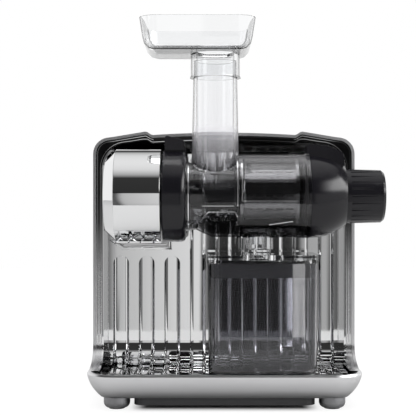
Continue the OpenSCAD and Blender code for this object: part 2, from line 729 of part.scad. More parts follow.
// A closed tube swept along a helix between the latch's keel and the end of its slot.
module latch_spring() color(steel) in_frame() {
  turns = 5;
  sides = 6;
  rings = turns * 12;
  x0 = keel_x0 - 8 + spring_wire_r + 0.05;
  length = 8 - 2 * spring_wire_r - 0.1;
  points = [for (i = [0:rings], j = [0:sides - 1]) let (a = i * 30, b = j * 360 / sides,
    r = spring_r + spring_wire_r * cos(b))
    [x0 + length * i / rings + spring_wire_r * sin(b), axis_y + r * cos(a), keel_z + 6 + r * sin(a)]];
  faces = concat([[for (j = [0:sides - 1]) j]], [[for (j = [sides - 1:-1:0]) rings * sides + j]],
    [for (i = [0:rings - 1], j = [0:sides - 1]) let (k = (j + 1) % sides)
      [i * sides + j, (i + 1) * sides + j, (i + 1) * sides + k, i * sides + k]]);
  polyhedron(points, faces);
}

// ---------- Switch and gland ----------

rocker_r = 11;
body_w = 17.6;          // switch body behind the housing's side
body_h = 27.6;
body_d = 22;
flange = 2.2;
rocker_w = 13.4;
rocker_c = [shell_x - 8, switch_z];
module switch_axis(r, half) translate([rocker_c[0], switch_y + half, rocker_c[1]]) rotate([90, 0, 0])
  cylinder(r = r, h = 2 * half);

module power_switch() color(gloss_black) in_frame() {
  difference() {
    switch_axis(rocker_r, rocker_w / 2);
    box(shell_x - 30, rocker_c[0] - 4, switch_y - 10, switch_y + 10, switch_z - 15, switch_z + 15);
    translate([shell_x + 26, switch_y + 10, switch_z]) rotate([90, 0, 0]) cylinder(r = 25, h = 20);
  }
  switch_axis(1.5, rocker_w / 2 + 1.8);
}

module switch_bezel() color(dark) in_frame() difference() {
  union() {
    box(shell_x - body_d, shell_x, switch_y - body_w / 2, switch_y + body_w / 2, switch_z - body_h / 2,
      switch_z + body_h / 2);
    along_x(shell_x, shell_x + 0.8) round_rect(switch_y - body_w / 2 - flange, switch_y + body_w / 2 + flange,
      switch_z - body_h / 2 - flange, switch_z + body_h / 2 + flange, 3);
  }
  box(shell_x - body_d + 2, shell_x + 2, switch_y - rocker_w / 2 - fit, switch_y + rocker_w / 2 + fit,
    switch_z - rocker_r - fit, switch_z + rocker_r + fit);
  switch_axis(1.5 + run, rocker_w / 2 + 2);
}

module cord_gland() color(rubber) in_frame() translate([gland_x, base_y - 0.2, gland_z]) rotate([90, 0, 0])
  difference() {
    union() {
      cylinder(r = 9, h = 8);
      translate([0, 0, 5.4]) cylinder(r = 12, h = 3);
    }
    translate([0, 0, -1]) cylinder(r = gland_hole_r, h = 12);
  }

// ---------- Motor ----------

module motor_stator() color(steel) in_frame() difference() {
  rod(motor_c, motor_r, stator_x0, stator_x1);
  rod(motor_c, rotor_r + air_gap, stator_x0 - 1, stator_x1 + 1);
}

winding_r = 5;
module motor_windings() color(copper) in_frame() for (x = [stator_x0 - 2 * winding_r, stator_x1])
  lathe_x(motor_c) translate([(rotor_r + motor_r) / 2 - 1.5, x + winding_r]) for (side = [-1, 1])
    translate([side, 0]) circle(r = winding_r, $fn = 32);

module motor_rotor() color(steel) in_frame() difference() {
  union() {
    rod(motor_c, rotor_r, stator_x0, stator_x1);
    rod(motor_c, rotor_r - 4, stator_x0 - 5, stator_x1 + 5);
  }
  rod(motor_c, motor_shaft_r, stator_x0 - 6, stator_x1 + 6);
}

module motor_shaft() color(steel) in_frame() rod(motor_c, motor_shaft_r, fast_x1 - fast_w - 1, shaft_x1);

module motor_bearings() color(steel) in_frame()
  for (x = [bell_x0 + 1, stator_x1 + bell_len - 1 - motor_bearing_w]) difference() {
    rod(motor_c, motor_bearing_r, x, x + motor_bearing_w);
    rod(motor_c, motor_shaft_r + run, x - 1, x + motor_bearing_w + 1);
  }

module end_bell() {
  seat = motor_bearing_w + 1;
  difference() {
    lathe_x(motor_c) polygon([[0, 0], [motor_r - 4, 0], [motor_r, 4], [motor_r, bell_len],
      [motor_r - bell_wall, bell_len], [motor_r - bell_wall, bell_wall + 2],
      [motor_r - bell_wall - 2, bell_wall], [motor_bearing_r + 3, bell_wall], [motor_bearing_r + 3, seat],
      [0, seat]]);
    rod(motor_c, motor_shaft_r + 2, -1, 4);
    rod(motor_c, motor_bearing_r, 1, seat + 1);
    for (a = [0:45:315]) translate([0, motor_c[0], motor_c[1]]) rotate([a, 0, 0])
      box(bell_wall + 6, bell_len - 5, -4, 4, motor_r - 5, motor_r + 2);
  }
}

module motor_end_bells() color(steel) in_frame() {
  translate([bell_x0, 0, 0]) end_bell();
  translate([stator_x1 + bell_len, 0, 0]) mirror([1, 0, 0]) end_bell();
}

fan_x0 = stator_x1 + bell_len + 2;
fan_r = motor_r - 6;
module cooling_fan() color(nylon) in_frame() difference() {
  union() {
    rod(motor_c, 8, fan_x0, fan_x0 + 12);
    rod(motor_c, fan_r, fan_x0, fan_x0 + 2);
    for (a = [0:40:320]) translate([0, motor_c[0], motor_c[1]]) rotate([a, 0, 0])
      box(fan_x0 + 1, fan_x0 + 11.5, -0.8, 0.8, 7, fan_r - 1);
  }
  rod(motor_c, motor_shaft_r, fan_x0 - 1, fan_x0 + 14);
}

module motor_bracket() color(steel) in_frame() difference() {
  y0 = splash_y + 4;
  y1 = motor_c[0] + motor_r;
  union() {
    along_x(case_x1, bell_x0) {
      translate([y0, deck_z]) square([y1 - y0, motor_c[1] - deck_z]);
      capsule(motor_c, motor_r, fast_c, fast_c[0] - y0);
    }
    box(bell_x0 - 1, stator_x1, y0, y1, deck_z, deck_z + 3);
    for (y = [y0, y1 - 3]) along_y(y, y + 3) polygon([[bell_x0 - 1, deck_z], [stator_x1 - 5, deck_z + 2],
      [bell_x0 - 1, motor_c[1] - motor_r - 8]]);
  }
  rod(motor_c, motor_shaft_r + 2, case_x1 - 1, bell_x0 + 1);
  for (y = [y0 + 14, y1 - 14]) post(stator_x1 - 18, y, screw_r, deck_z - 1, deck_z + 4);
}

// ---------- Gears ----------

module shaft_gear(c, m, n, phase, gap, x0, x1, bore) difference() {
  gear(c, m, n, phase, gap, x0, x1);
  rod(c, bore, x0 - 1, x1 + 1);
}

module motor_pinion() color(steel) in_frame()
  shaft_gear(motor_c, fast_m, fast_teeth[1], 160, true, fast_x1 - fast_w - 0.5, fast_x1 + 0.5, motor_shaft_r);

module idler(c, hub, x_play) rod(c, hub, cavity_x0 + x_play, cavity_x1 - x_play);

module first_idler_gear() color(nylon) in_frame() difference() {
  union() {
    gear(fast_c, fast_m, fast_teeth[0], -20, false, fast_x1 - fast_w, fast_x1);
    gear(fast_c, mid_m, mid_teeth[1], 160, true, fast_x1, mid_x1);
    idler(fast_c, 7, side_play);
  }
  rod(fast_c, pin_r + run, cavity_x0 - 1, cavity_x1 + 1);
}

module second_idler_gear() color(nylon) in_frame() difference() {
  union() {
    gear(mid_c, mid_m, mid_teeth[0], -20, false, mid_x1 - mid_w, mid_x1);
    gear(mid_c, out_m, out_teeth[1], 180, true, mid_x1, out_x1);
    idler(mid_c, 8, side_play);
  }
  rod(mid_c, pin_r + run, cavity_x0 - 1, cavity_x1 + 1);
}

module idler_pins() color(steel) in_frame()
  for (c = [mid_c, fast_c]) rod(c, pin_r, case_x0 + 1, case_x1 - 0.5);

module output_gear() color(steel) in_frame()
  shaft_gear(out_c, out_m, out_teeth[0], 0, false, out_x1 - out_w, out_x1, output_shaft_r);

socket_x0 = case_x1 + 6.3;
socket_x1 = collar_x1 - spigot_len - 0.6;
hex_r = output_shaft_r - 0.8;
module output_shaft() color(steel) in_frame() difference() {
  union() {
    rod(out_c, output_shaft_r, case_x0 + 2.5, socket_x0 + 1);
    rod(out_c, output_shaft_r + 4, socket_x0, socket_x1);
  }
  along_x(socket_x0 + 1.5, socket_x1 + 1) translate(out_c) circle(r = hex_r + 0.25, $fn = 6);
}

bearing_xs = [case_x0 + 2.2, case_x1 - 0.8];
module output_bearings() color(steel) in_frame() for (x = bearing_xs) difference() {
  rod(out_c, bearing_r, x, x + bearing_w);
  rod(out_c, output_shaft_r + run, x - 1, x + bearing_w + 1);
}

// The gear case's outline in side view: a chain of rounded links from gear to gear.
module case_outline(extra) for (i = [0:2])
  capsule(case_circles[i][0], case_circles[i][1] + extra, case_circles[i + 1][0],
    case_circles[i + 1][1] + extra);

lug_r = 5;
case_screw_r = 1.6;
case_head_r = 3.2;
case_lugs = [for (a = [80, 270]) fast_c + (case_circles[2][1] + case_clear + lug_r + 0.2) * dir(a)];

module gear_case() color(steel) in_frame() difference() {
  along_x(case_x0, cavity_x1) {
    case_outline(case_clear + case_wall);
    for (p = case_lugs) translate(p) circle(lug_r);
  }
  difference() {
    along_x(cavity_x0, cavity_x1 + 1) case_outline(case_clear);
    rod(out_c, boss_r, cavity_x0 - 1, bearing_xs[0] + bearing_w);
  }
  rod(out_c, bearing_r, bearing_xs[0], bearing_xs[0] + bearing_w + 1);
  for (c = [mid_c, fast_c]) rod(c, pin_r, case_x0 + 1, cavity_x0 + 1);
  for (p = case_lugs) rod(p, case_screw_r, cavity_x1 - 14, cavity_x1 + 1);
}

module gear_case_cover() color(steel) in_frame() difference() {
  union() {
    along_x(cavity_x1, case_x1) {
      case_outline(case_clear + case_wall);
      for (p = case_lugs) translate(p) circle(lug_r);
    }
    rod(out_c, boss_r, case_x1 - 1, bearing_xs[1] + bearing_w);
  }
  rod(out_c, bearing_r, bearing_xs[1], bearing_xs[1] + bearing_w + 1);
  rod(out_c, output_shaft_r + 1, cavity_x1 - 1, case_x1 + 1);
  for (c = [mid_c, fast_c]) rod(c, pin_r, cavity_x1 - 1, case_x1 - 0.5);
  rod(motor_c, motor_shaft_r + 2, cavity_x1 - 1, case_x1 + 1);
  for (p = case_lugs) {
    rod(p, case_screw_r, cavity_x1 - 1, case_x1 + 1);
    rod(p, case_head_r, case_x1 - 1.6, case_x1 + 1);
  }
}

module gear_case_screws() color(steel) in_frame() for (p = case_lugs) {
  rod(p, case_screw_r, cavity_x1 - 13, case_x1);
  rod(p, case_head_r, case_x1 - 1.6, case_x1);
}

// ---------- Electrical parts ----------

board_w = 70;
board_d = 34;
board = [stator_x1 + 12, stator_x1 + 12 + board_w, splash_y + 12, splash_y + 12 + board_d];
board_z = deck_z + 7;
module board_posts(r, z0, z1) for (x = [board[0] + 5, board[1] - 5], y = [board[2] + 5, board[3] - 5])
  post(x, y, r, z0, z1);

module control_board() color([0.12, 0.35, 0.2]) in_frame() {
  difference() {
    box(board[0], board[1], board[2], board[3], board_z, board_z + 1.6);
    board_posts(1.5, board_z - 1, board_z + 3);
  }
  board_posts(3, deck_z, board_z);
  for (i = [0:2]) box(board[0] + 12 + i * 17, board[0] + 22 + i * 17, board[2] + 9, board[2] + 22,
    board_z + 1.6, board_z + 10 - 2 * i);
  post(board[1] - 12, board[3] - 10, 5, board_z + 1.6, board_z + 16);
}

can_r = 15;
can_len = 52;
can_reach = 72;
can_gap = 20;
strap_w = 6;
module run_capacitor() color(silver) in_frame() {
  c = [splash_y + can_reach, deck_z + can_r + 1];
  x0 = stator_x1 + can_gap;
  rod(c, can_r, x0, x0 + can_len);
  rod(c, can_r / 3, x0 + can_len - 1, x0 + can_len + 5);
  for (x = [x0 + strap_w, x0 + can_len - 2 * strap_w])
    box(x, x + strap_w, c[0] - 0.6 * can_r, c[0] + 0.6 * can_r, deck_z, deck_z + can_r - 4);
}

// ---------- Drum and what it holds ----------

back_x0 = collar_x1 - spigot_len;
auger_r = neck_bore - auger_gap;
journal_r = 6;
core_r = 13;
core_end_r = 23;
band_len = 11.5;
screen_x0 = neck_x1 + drum_wall + fit;
screen_x1 = barrel_x1 - band_len;

// Front view outline of the hood in front of the drum's neck.
hood_x = neck_x1 - 39.5;
module hood_outline(inset) polygon([[hood_x + inset, channel_z + 7 + inset],
  [hood_x + 2 + inset, axis_z - 30], [hood_x + 13 + inset, axis_z - 15.5 - inset],
  [hood_x + 38 - inset, axis_z - 15.5 - inset],
  [hood_x + 42 - inset, axis_z - 20 - inset], [hood_x + 42 - inset, channel_z + inset],
  [hood_x + 15 + inset, channel_z + inset]]);

module drum_outside() {
  rod(out_c, spigot_r, back_x0, collar_x1 + 1);
  lathe_x(out_c) polygon([[0, collar_x1], [neck_r + 1, collar_x1], [neck_r + 1, collar_x1 + 3.5],
    [neck_r, collar_x1 + 4], [neck_r, neck_x1], [barrel_r, neck_x1], [barrel_r, neck_x1 + 2],
    [barrel_r - 0.8, neck_x1 + 2.4], [barrel_r - 0.8, neck_x1 + 6.5], [barrel_r, neck_x1 + 7],
    [barrel_r - 0.6, neck_x1 + 9], [barrel_r - 0.6, screen_x1 - 1], [barrel_r, screen_x1],
    [barrel_r, barrel_x1], [0, barrel_x1]]);
  along_y(axis_y - channel_half_d - 8, axis_y + channel_half_d) hood_outline(0);
  post(chute_cx, axis_y, chute_r, axis_z, chute_top);
  translate([chute_cx, axis_y, axis_z + 18])
    cylinder(r1 = chute_r + 3, r2 = chute_r + 1, h = hopper_neck_z - fit - axis_z - 18);
}

module drum() color(clear) in_frame() difference() {
  drum_outside();
  rod(out_c, neck_bore - 2, back_x0 + drum_wall, collar_x1 + 1);
  rod(out_c, neck_bore, collar_x1, barrel_x1 + 1);
  rod(out_c, barrel_bore, neck_x1 + drum_wall, barrel_x1 + 1);
  along_y(axis_y - channel_half_d - 8 + drum_wall, axis_y + channel_half_d - drum_wall) intersection() {
    hood_outline(drum_wall);
    translate([hood_x, channel_z]) square([50, 14]);
  }
  box(neck_x1 - 5, neck_x1 + 6, axis_y - 14, axis_y + 14, channel_z + 3, channel_z + 12);
  post(chute_cx, axis_y, chute_bore_r, axis_z, chute_top + 1);
  rod(out_c, seal_r, back_x0 - 1, back_x0 + 5);
  post(outlet_cx, axis_y, outlet_r - 2.5, channel_z - 8, axis_z - barrel_bore + 4);
  box(collar_x1 - 0.2, collar_x1 + nose_len + 0.5, axis_y - slot_w / 2, axis_y + slot_w / 2, keel_z - 1,
    keel_z + 6);
}

module drum_seal() color(rubber) in_frame() difference() {
  rod(out_c, seal_r, back_x0, back_x0 + drum_wall);
  rod(out_c, journal_r + run, back_x0 - 1, back_x0 + 5);
}

// The auger's flight: a blade twisted along the core.
module flight(x0, x1, turns, r) lathe_axis(x0)
  linear_extrude(height = x1 - x0, twist = -360 * turns, slices = 22 * turns, segments = 12)
    polygon(concat([[0, 0]], arc([0, 0], r, -13, 13, 3)));
module lathe_axis(x0) translate([x0, axis_y, axis_z]) rotate([90, 0, 90]) children();

module auger() color(gloss_black) in_frame() {
  flight_x0 = collar_x1 + 0.5;
  lathe_x(out_c) polygon([[0, back_x0 + drum_wall + 1], [neck_bore - 3, back_x0 + drum_wall + 1],
    [neck_bore - 3, flight_x0], [core_r, flight_x0 + 1], [core_r, neck_x1 - 12], [core_r + 6, screen_x0 + 8],
    [core_end_r, screen_x1 - 4], [core_end_r, screen_x1 + 2], [journal_r, screen_x1 + 4],
    [journal_r, barrel_x1 + 3], [0, barrel_x1 + 3]]);
  rod(out_c, journal_r, back_x0 - 0.4, back_x0 + drum_wall + 2);
  along_x(socket_x0 + 2, back_x0) translate(out_c) circle(r = hex_r, $fn = 6);
  flight(flight_x0, neck_x1 + 4, 1.5, auger_r);
  flight(neck_x1 + 4, screen_x1 + 1, 3, auger_r);
}

slot_rows = 5;
slots_round = 16;
module juicing_screen() color(steel) in_frame() difference() {
  union() {
    rod(out_c, neck_bore + 2, screen_x0, screen_x1);
    rod(out_c, barrel_bore - fit, screen_x0, screen_x0 + 3);
    rod(out_c, barrel_bore - fit, screen_x1 - 3, screen_x1);
  }
  rod(out_c, neck_bore, screen_x0 - 1, screen_x1 + 1);
  pitch = (screen_x1 - screen_x0 - 8) / slot_rows;
  for (i = [0:slot_rows - 1], k = [0:slots_round - 1]) lathe_axis(screen_x0 + 4 + (i + 0.15) * pitch)
    rotate(k * 360 / slots_round) translate([neck_bore - 1, -0.5, 0]) cube([4, 1, pitch * 0.7]);
}

cap_wall = 3;
web_x1 = barrel_x1 + 4;
spigot_out_r = chute_bore_r;
pulp_r = 14;
spigot_end = cap_x1 + knob_len * 0.72;
cap_side = bezier([[barrel_r - 0.25, barrel_x1 + 0.3],
  [barrel_r - 0.25, barrel_x1 + cap_len * 0.6], [cap_end_r, cap_x1]], 10);

module end_cap() color(gloss_black) in_frame() difference() {
  union() {
    lathe_x(out_c) polygon(concat([[0, barrel_x1 + 0.3]], cap_side, [[0, cap_x1]]));
    rod(out_c, barrel_bore - fit, screen_x1 + fit + 3.5, barrel_x1 + 1);
    rod(out_c, spigot_out_r, cap_x1 - 1, spigot_end);
    along_y(axis_y - 13, axis_y + 13) polygon([[barrel_x1 + 0.6, axis_z + barrel_r + 0.6],
      [barrel_x1 - 2.5, axis_z + barrel_r + 0.6],
      [barrel_x1 - 2.5, axis_z + barrel_r + 8], [barrel_x1 + 1, axis_z + barrel_r + 9.8],
      [barrel_x1 + 17, axis_z + barrel_r + 8.4], [barrel_x1 + 29, axis_z + barrel_r + 4],
      [cap_x1 - 2.5, axis_z + barrel_r + 0.6], [cap_x1 - 1.5, axis_z + 30], [barrel_x1 + 0.6, axis_z + 30]]);
  }
  rod(out_c, barrel_bore - fit - cap_wall, screen_x1 + 3, barrel_x1);
  lathe_x(out_c) polygon(concat([[0, web_x1]],
    [for (p = cap_side) [p[0] - cap_wall - 1, max(web_x1, p[1] - cap_wall)]], [[0, cap_x1 - cap_wall]]));
  difference() {
    rod(out_c, barrel_bore - fit - cap_wall, barrel_x1 - 1, web_x1 + 1);
    rod(out_c, 11, barrel_x1 - 2, web_x1 + 2);
    for (a = [0:60:300]) translate([0, axis_y, axis_z]) rotate([a, 0, 0])
      box(barrel_x1 - 2, web_x1 + 2, -2.5, 2.5, 0, barrel_r);
  }
  rod(out_c, 8, barrel_x1 - 1, web_x1 + 1);
  rod(out_c, pulp_r, web_x1, spigot_end + 1);
  difference() {
    rod(out_c, barrel_bore, barrel_x1 - 6, barrel_x1 - 3);
    rod(out_c, barrel_bore - 1.6, barrel_x1 - 7, barrel_x1 - 2);
  }
}

module cap_seal() color(rubber) in_frame() difference() {
  rod(out_c, barrel_bore - 0.05, barrel_x1 - 6, barrel_x1 - 3);
  rod(out_c, barrel_bore - 1.6, barrel_x1 - 7, barrel_x1 - 2);
}

module auger_bush() color(steel) in_frame() difference() {
  rod(out_c, 8, barrel_x1, web_x1);
  rod(out_c, journal_r + run, barrel_x1 - 1, web_x1 + 1);
}

ridge_count = 24;
knob_wall_x = knob_x1 - 7;
module adjusting_knob() color(gloss_black) in_frame() difference() {
  lathe_x(out_c) polygon([[0, cap_x1 + fit], [knob_r, cap_x1 + fit], [knob_r - 1, knob_x1 - 3.5],
    [knob_r - 3, knob_x1 - 1], [pulp_r + 3, knob_x1], [0, knob_x1]]);
  rod(out_c, spigot_out_r + fit, cap_x1 - 1, knob_wall_x);
  rod(out_c, pulp_r - 0.3, cap_x1 - 1, knob_x1 + 1);
  for (k = [0:ridge_count - 1]) translate([0, axis_y, axis_z]) rotate([k * 360 / ridge_count, 0, 0])
    translate([cap_x1 + 4.5, 0, knob_r + 0.5]) rotate([0, 90, 0]) cylinder(r = 1.5, h = knob_len, $fn = 24);
}

module pulp_nozzle() color(dark) in_frame() lathe_x(out_c) polygon([[pulp_r - 0.3, cap_x1 + 6],
  [pulp_r - 0.3, spigot_end + 0.5], [spigot_out_r - 1, spigot_end + 0.5], [spigot_out_r - 1, knob_wall_x],
  [pulp_r - 0.3, knob_wall_x], [pulp_r - 0.3, knob_x1 - 0.6], [pulp_r - 4, knob_x1 - 0.6],
  [pulp_r - 1.5, cap_x1 + 6]]);

module juice_outlet() color(clear) in_frame() difference() {
  union() {
    post(outlet_cx, axis_y, outlet_r, outlet_z0, axis_z - barrel_r + 4);
    post(outlet_cx, axis_y, outlet_r + 1.5, channel_z - 1, axis_z - barrel_r + 5);
    box(outlet_cx - outlet_r - 6, outlet_cx - outlet_r + 2, axis_y - 4, axis_y + 4, outlet_z0, channel_z - 1);
  }
  rod(out_c, barrel_r + 0.02, outlet_cx - 30, outlet_cx + 30);
  post(outlet_cx, axis_y, outlet_r - 2.5, outlet_z0 - 1, axis_z);
}

// ---------- Hopper and container ----------

// A rounded box that is wider at its top than at its bottom.
module flared(x0, x1, y0, y1, z0, z1, r, grow, base_r = 0) hull() {
  for (a = base_r > 0 ? [0:30:90] : [90]) let (inset = base_r * (1 - sin(a)))
    translate([0, 0, z0 + base_r * (1 - cos(a))]) linear_extrude(eps)
      round_rect(x0 + inset, x1 - inset, y0 + inset, y1 - inset, r - inset, $fn = 32);
  translate([0, 0, z1 - eps]) linear_extrude(eps)
    round_rect(x0 - grow, x1 + grow, y0 - grow, y1 + grow, r + grow, $fn = 32);
}

module hopper() color(clear) in_frame() difference() {
  flare = 3;
  bowl_r = 12;
  x0 = hopper_cx - hopper_w / 2 + flare;
  x1 = hopper_cx + hopper_w / 2 - flare;
  y0 = hopper_front + flare;
  y1 = axis_y + hopper_d / 2 - flare;
  union() {
    flared(x0, x1, y0, y1, hopper_z0, hopper_z1, 15, flare, bowl_r);
    translate([chute_cx, axis_y, hopper_neck_z]) cylinder(r1 = hopper_neck_r + 1, r2 = hopper_neck_r, h = 2);
    post(chute_cx, axis_y, hopper_neck_r, hopper_neck_z + 2, hopper_z0 + bowl_r / 2);
  }
  flared(x0 + cup_wall, x1 - cup_wall, y0 + cup_wall, y1 - cup_wall, hopper_z0 + cup_wall + 0.5,
    hopper_z1 + 0.1, 13, flare, bowl_r - cup_wall);
  post(chute_cx, axis_y, chute_r + fit, hopper_neck_z - 1, chute_top + fit);
  post(chute_cx, axis_y, chute_bore_r, chute_top - 1, hopper_z1);
}

cont_x = container_w / 2;
cont_y = container_d / 2;
module container_box(inset, z0, z1, base_r = 0) {
  t0 = container_taper * (1 - (z0 - container_z0) / container_h);
  t1 = container_taper * (1 - (z1 - container_z0) / container_h);
  flared(container_cx - cont_x + inset + t0, container_cx + cont_x - inset - t0,
    container_cy - cont_y + inset + t0, container_cy + cont_y - inset - t0, z0, z1,
    container_corner_r - inset - t0, t0 - t1, base_r);
}

module juice_container() color(smoke) in_frame() difference() {
  container_box(0, container_z0, lid_z0, 4);
  container_box(cup_wall, container_z0 + cup_wall + 0.5, lid_z0 + 0.1, 3);
}

lid_lip = 0.5;
lid_plug = cup_wall + 3.5;
lid_hole_r = outlet_r + 2;
module container_lid() color(clear) in_frame() difference() {
  union() {
    along_z(lid_z0, container_z0 + container_h) round_rect(container_cx - cont_x - lid_lip,
      container_cx + cont_x + lid_lip, container_cy - cont_y - lid_lip, container_cy + cont_y + lid_lip,
      container_corner_r + lid_lip);
    container_box(lid_plug, lid_z0 - seal_h, lid_z0 + 1);
  }
  container_box(lid_plug + cup_wall, lid_z0 - seal_h - 1, lid_z0 + 3);
  post(outlet_cx, axis_y, lid_hole_r, lid_z0 - 1, container_z0 + container_h + 1);
}

module lid_seal() color(rubber) in_frame() difference() {
  container_box(cup_wall + 0.15, lid_z0 - seal_h + 1, lid_z0 - 0.1);
  container_box(lid_plug, lid_z0 - seal_h, lid_z0 + 1);
}

// ---------- Nodes ----------

rear_shell();
back_cover();
back_cover_screws();
shell_bezel();
bezel_trim();
backsplash();
base_tray();
base_plate();
base_screws();
feet();
foot_pads();
handle_cup();
carry_handle();
pod_cover();
pod_end_ring();
pod_trim();
drive_collar();
lock_latch();
latch_spring();
power_switch();
switch_bezel();
cord_gland();
motor_stator();
motor_windings();
motor_rotor();
motor_shaft();
motor_bearings();
motor_end_bells();
cooling_fan();
motor_pinion();
first_idler_gear();
second_idler_gear();
idler_pins();
output_gear();
output_shaft();
output_bearings();
gear_case();
gear_case_cover();
gear_case_screws();
motor_bracket();
control_board();
run_capacitor();
drum();
drum_seal();
auger();
juicing_screen();
end_cap();
cap_seal();
auger_bush();
adjusting_knob();
pulp_nozzle();
juice_outlet();
hopper();
juice_container();
container_lid();
lid_seal();
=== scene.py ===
import json
import math
import bpy
import bmesh
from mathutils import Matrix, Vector

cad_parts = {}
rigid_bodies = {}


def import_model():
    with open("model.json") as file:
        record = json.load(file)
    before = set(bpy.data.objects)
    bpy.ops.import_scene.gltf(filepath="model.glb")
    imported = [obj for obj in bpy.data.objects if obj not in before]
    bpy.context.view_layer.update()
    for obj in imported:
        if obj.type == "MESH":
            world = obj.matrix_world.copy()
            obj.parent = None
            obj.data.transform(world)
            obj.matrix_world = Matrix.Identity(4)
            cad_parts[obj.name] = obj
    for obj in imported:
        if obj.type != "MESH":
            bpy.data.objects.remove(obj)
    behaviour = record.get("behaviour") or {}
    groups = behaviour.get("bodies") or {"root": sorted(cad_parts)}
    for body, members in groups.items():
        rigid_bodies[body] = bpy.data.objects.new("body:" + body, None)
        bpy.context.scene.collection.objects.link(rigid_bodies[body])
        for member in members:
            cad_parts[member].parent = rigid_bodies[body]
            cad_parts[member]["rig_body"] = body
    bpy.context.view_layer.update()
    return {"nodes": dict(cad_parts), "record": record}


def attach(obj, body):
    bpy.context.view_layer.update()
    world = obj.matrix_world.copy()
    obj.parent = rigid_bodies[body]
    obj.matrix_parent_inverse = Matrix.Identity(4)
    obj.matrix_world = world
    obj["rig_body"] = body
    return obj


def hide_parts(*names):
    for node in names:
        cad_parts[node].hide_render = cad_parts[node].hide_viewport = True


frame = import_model()
print("frame loaded", len(frame["nodes"]), "nodes")

# lengths are in metres, and the widths of pieces are written in millimetres
mm = 0.001
upright = math.radians(90)

# the camera looks level along the y axis
camera = {"place": (-0.02725, -1.140, 0.1993), "lens": 93.0, "sensor": 36, "nearest": 0.05}
bpy.ops.object.select_all(action="DESELECT")
bpy.ops.object.camera_add(location=camera["place"], rotation=(upright, 0, 0))
cam = bpy.context.object
cam.name = "camera"
cam.data.lens = camera["lens"]
cam.data.sensor_width = camera["sensor"]
cam.data.clip_start = camera["nearest"]
bpy.context.scene.camera = cam
bpy.context.scene.view_settings.view_transform = "Standard"


def newNode(tree, kind, inputs=None, **settings):
    node = tree.nodes.new("ShaderNode" + kind)
    for key, value in settings.items():
        setattr(node, key, value)
    for label, value in (inputs or {}).items():
        node.inputs[label].default_value = value
    return node


def feed(tree, value, socket):
    # a socket takes a link from another node or a value of its own
    if hasattr(value, "is_output"):
        tree.links.new(value, socket)
    else:
        socket.default_value = value


def linkUp(tree, *pairs):
    for out, into in pairs:
        tree.links.new(out, into)


def mathNode(tree, kind, *values, clamp=False):
    node = newNode(tree, "Math", operation=kind, use_clamp=clamp)
    for i, value in enumerate(values):
        feed(tree, value, node.inputs[i])
    return node.outputs[0]


def mixColour(tree, factor, first, second, blend="MIX"):
    node = newNode(tree, "Mix", data_type="RGBA", blend_type=blend)
    for label, value in (("Factor", factor), ("A", first), ("B", second)):
        feed(tree, value, node.inputs[label])
    return node.outputs["Result"]


def mixShader(tree, factor, first, second):
    node = newNode(tree, "MixShader")
    for i, value in enumerate((factor, first, second)):
        feed(tree, value, node.inputs[i])
    return node.outputs[0]


def splitPlace(tree, label):
    coord = newNode(tree, "TexCoord")
    split = newNode(tree, "SeparateXYZ")
    tree.links.new(coord.outputs[label], split.inputs[0])
    return split.outputs


def rampNode(tree, source, stops):
    # each stop is its place from 0 to 1, and a grey or a colour
    node = newNode(tree, "ValToRGB")
    elements = node.color_ramp.elements
    while len(elements) > 1:
        elements.remove(elements[0])
    for i, (place, value) in enumerate(stops):
        element = elements[0] if i == 0 else elements.new(place)
        element.position = place
        element.color = (*value, 1) if isinstance(value, tuple) else (value, value, value, 1)
    tree.links.new(source, node.inputs[0])
    return node.outputs[0]


white = (1, 1, 1, 1)
light = {"room": 0.80, "mirror": 1.0, "softbox": 6.0, "floorGlow": 0.72, "floorWhite": 1.2}

# what the room shows in reflections, by height, where 0 is straight down and 1 straight up
roomHeights = {
    "darkRoom": [(0.0, 0.62), (0.30, 0.80), (0.36, 0.95), (0.55, 0.98), (0.565, 0.03), (0.85, 0.035),
                 (0.90, 0.42), (0.96, 0.75), (1.0, 0.85)],
    "paleWalls": [(0.0, 0.62), (0.30, 0.85), (0.40, 0.96), (0.72, 0.96), (0.75, 0.08), (0.84, 0.08),
                  (0.87, 0.45), (0.95, 0.75), (1.0, 0.85)],
    "softbox": [(0.0, 0.0), (0.56, 0.0), (0.64, 1.0), (0.80, 1.0), (0.86, 0.0), (1.0, 0.0)],
}
# what stands behind the camera from left to right: pale screens, a dark room between them and a dark edge
screens = [(0.0, 0.05), (0.20, 0.05), (0.22, 0.6), (0.26, 0.6), (0.28, 0.03), (0.430, 0.03), (0.438, 0.45),
           (0.452, 0.05), (0.4535, 0.05), (0.455, 0.52), (0.4985, 0.80), (0.4995, 0.03), (0.540, 0.03),
           (0.544, 0.40), (0.5580, 0.45), (0.5588, 0.03), (0.585, 0.04), (0.60, 0.75), (1.0, 0.8)]
screenReach = {"low": -0.38, "high": 0.15, "leastDepth": 0.001}
paleWallsFrom = -0.15
softboxAcross = {"behind": 0.05, "stops": [(0.0, 0.0), (0.25, 0.0), (0.70, 1.0), (1.0, 1.0)]}


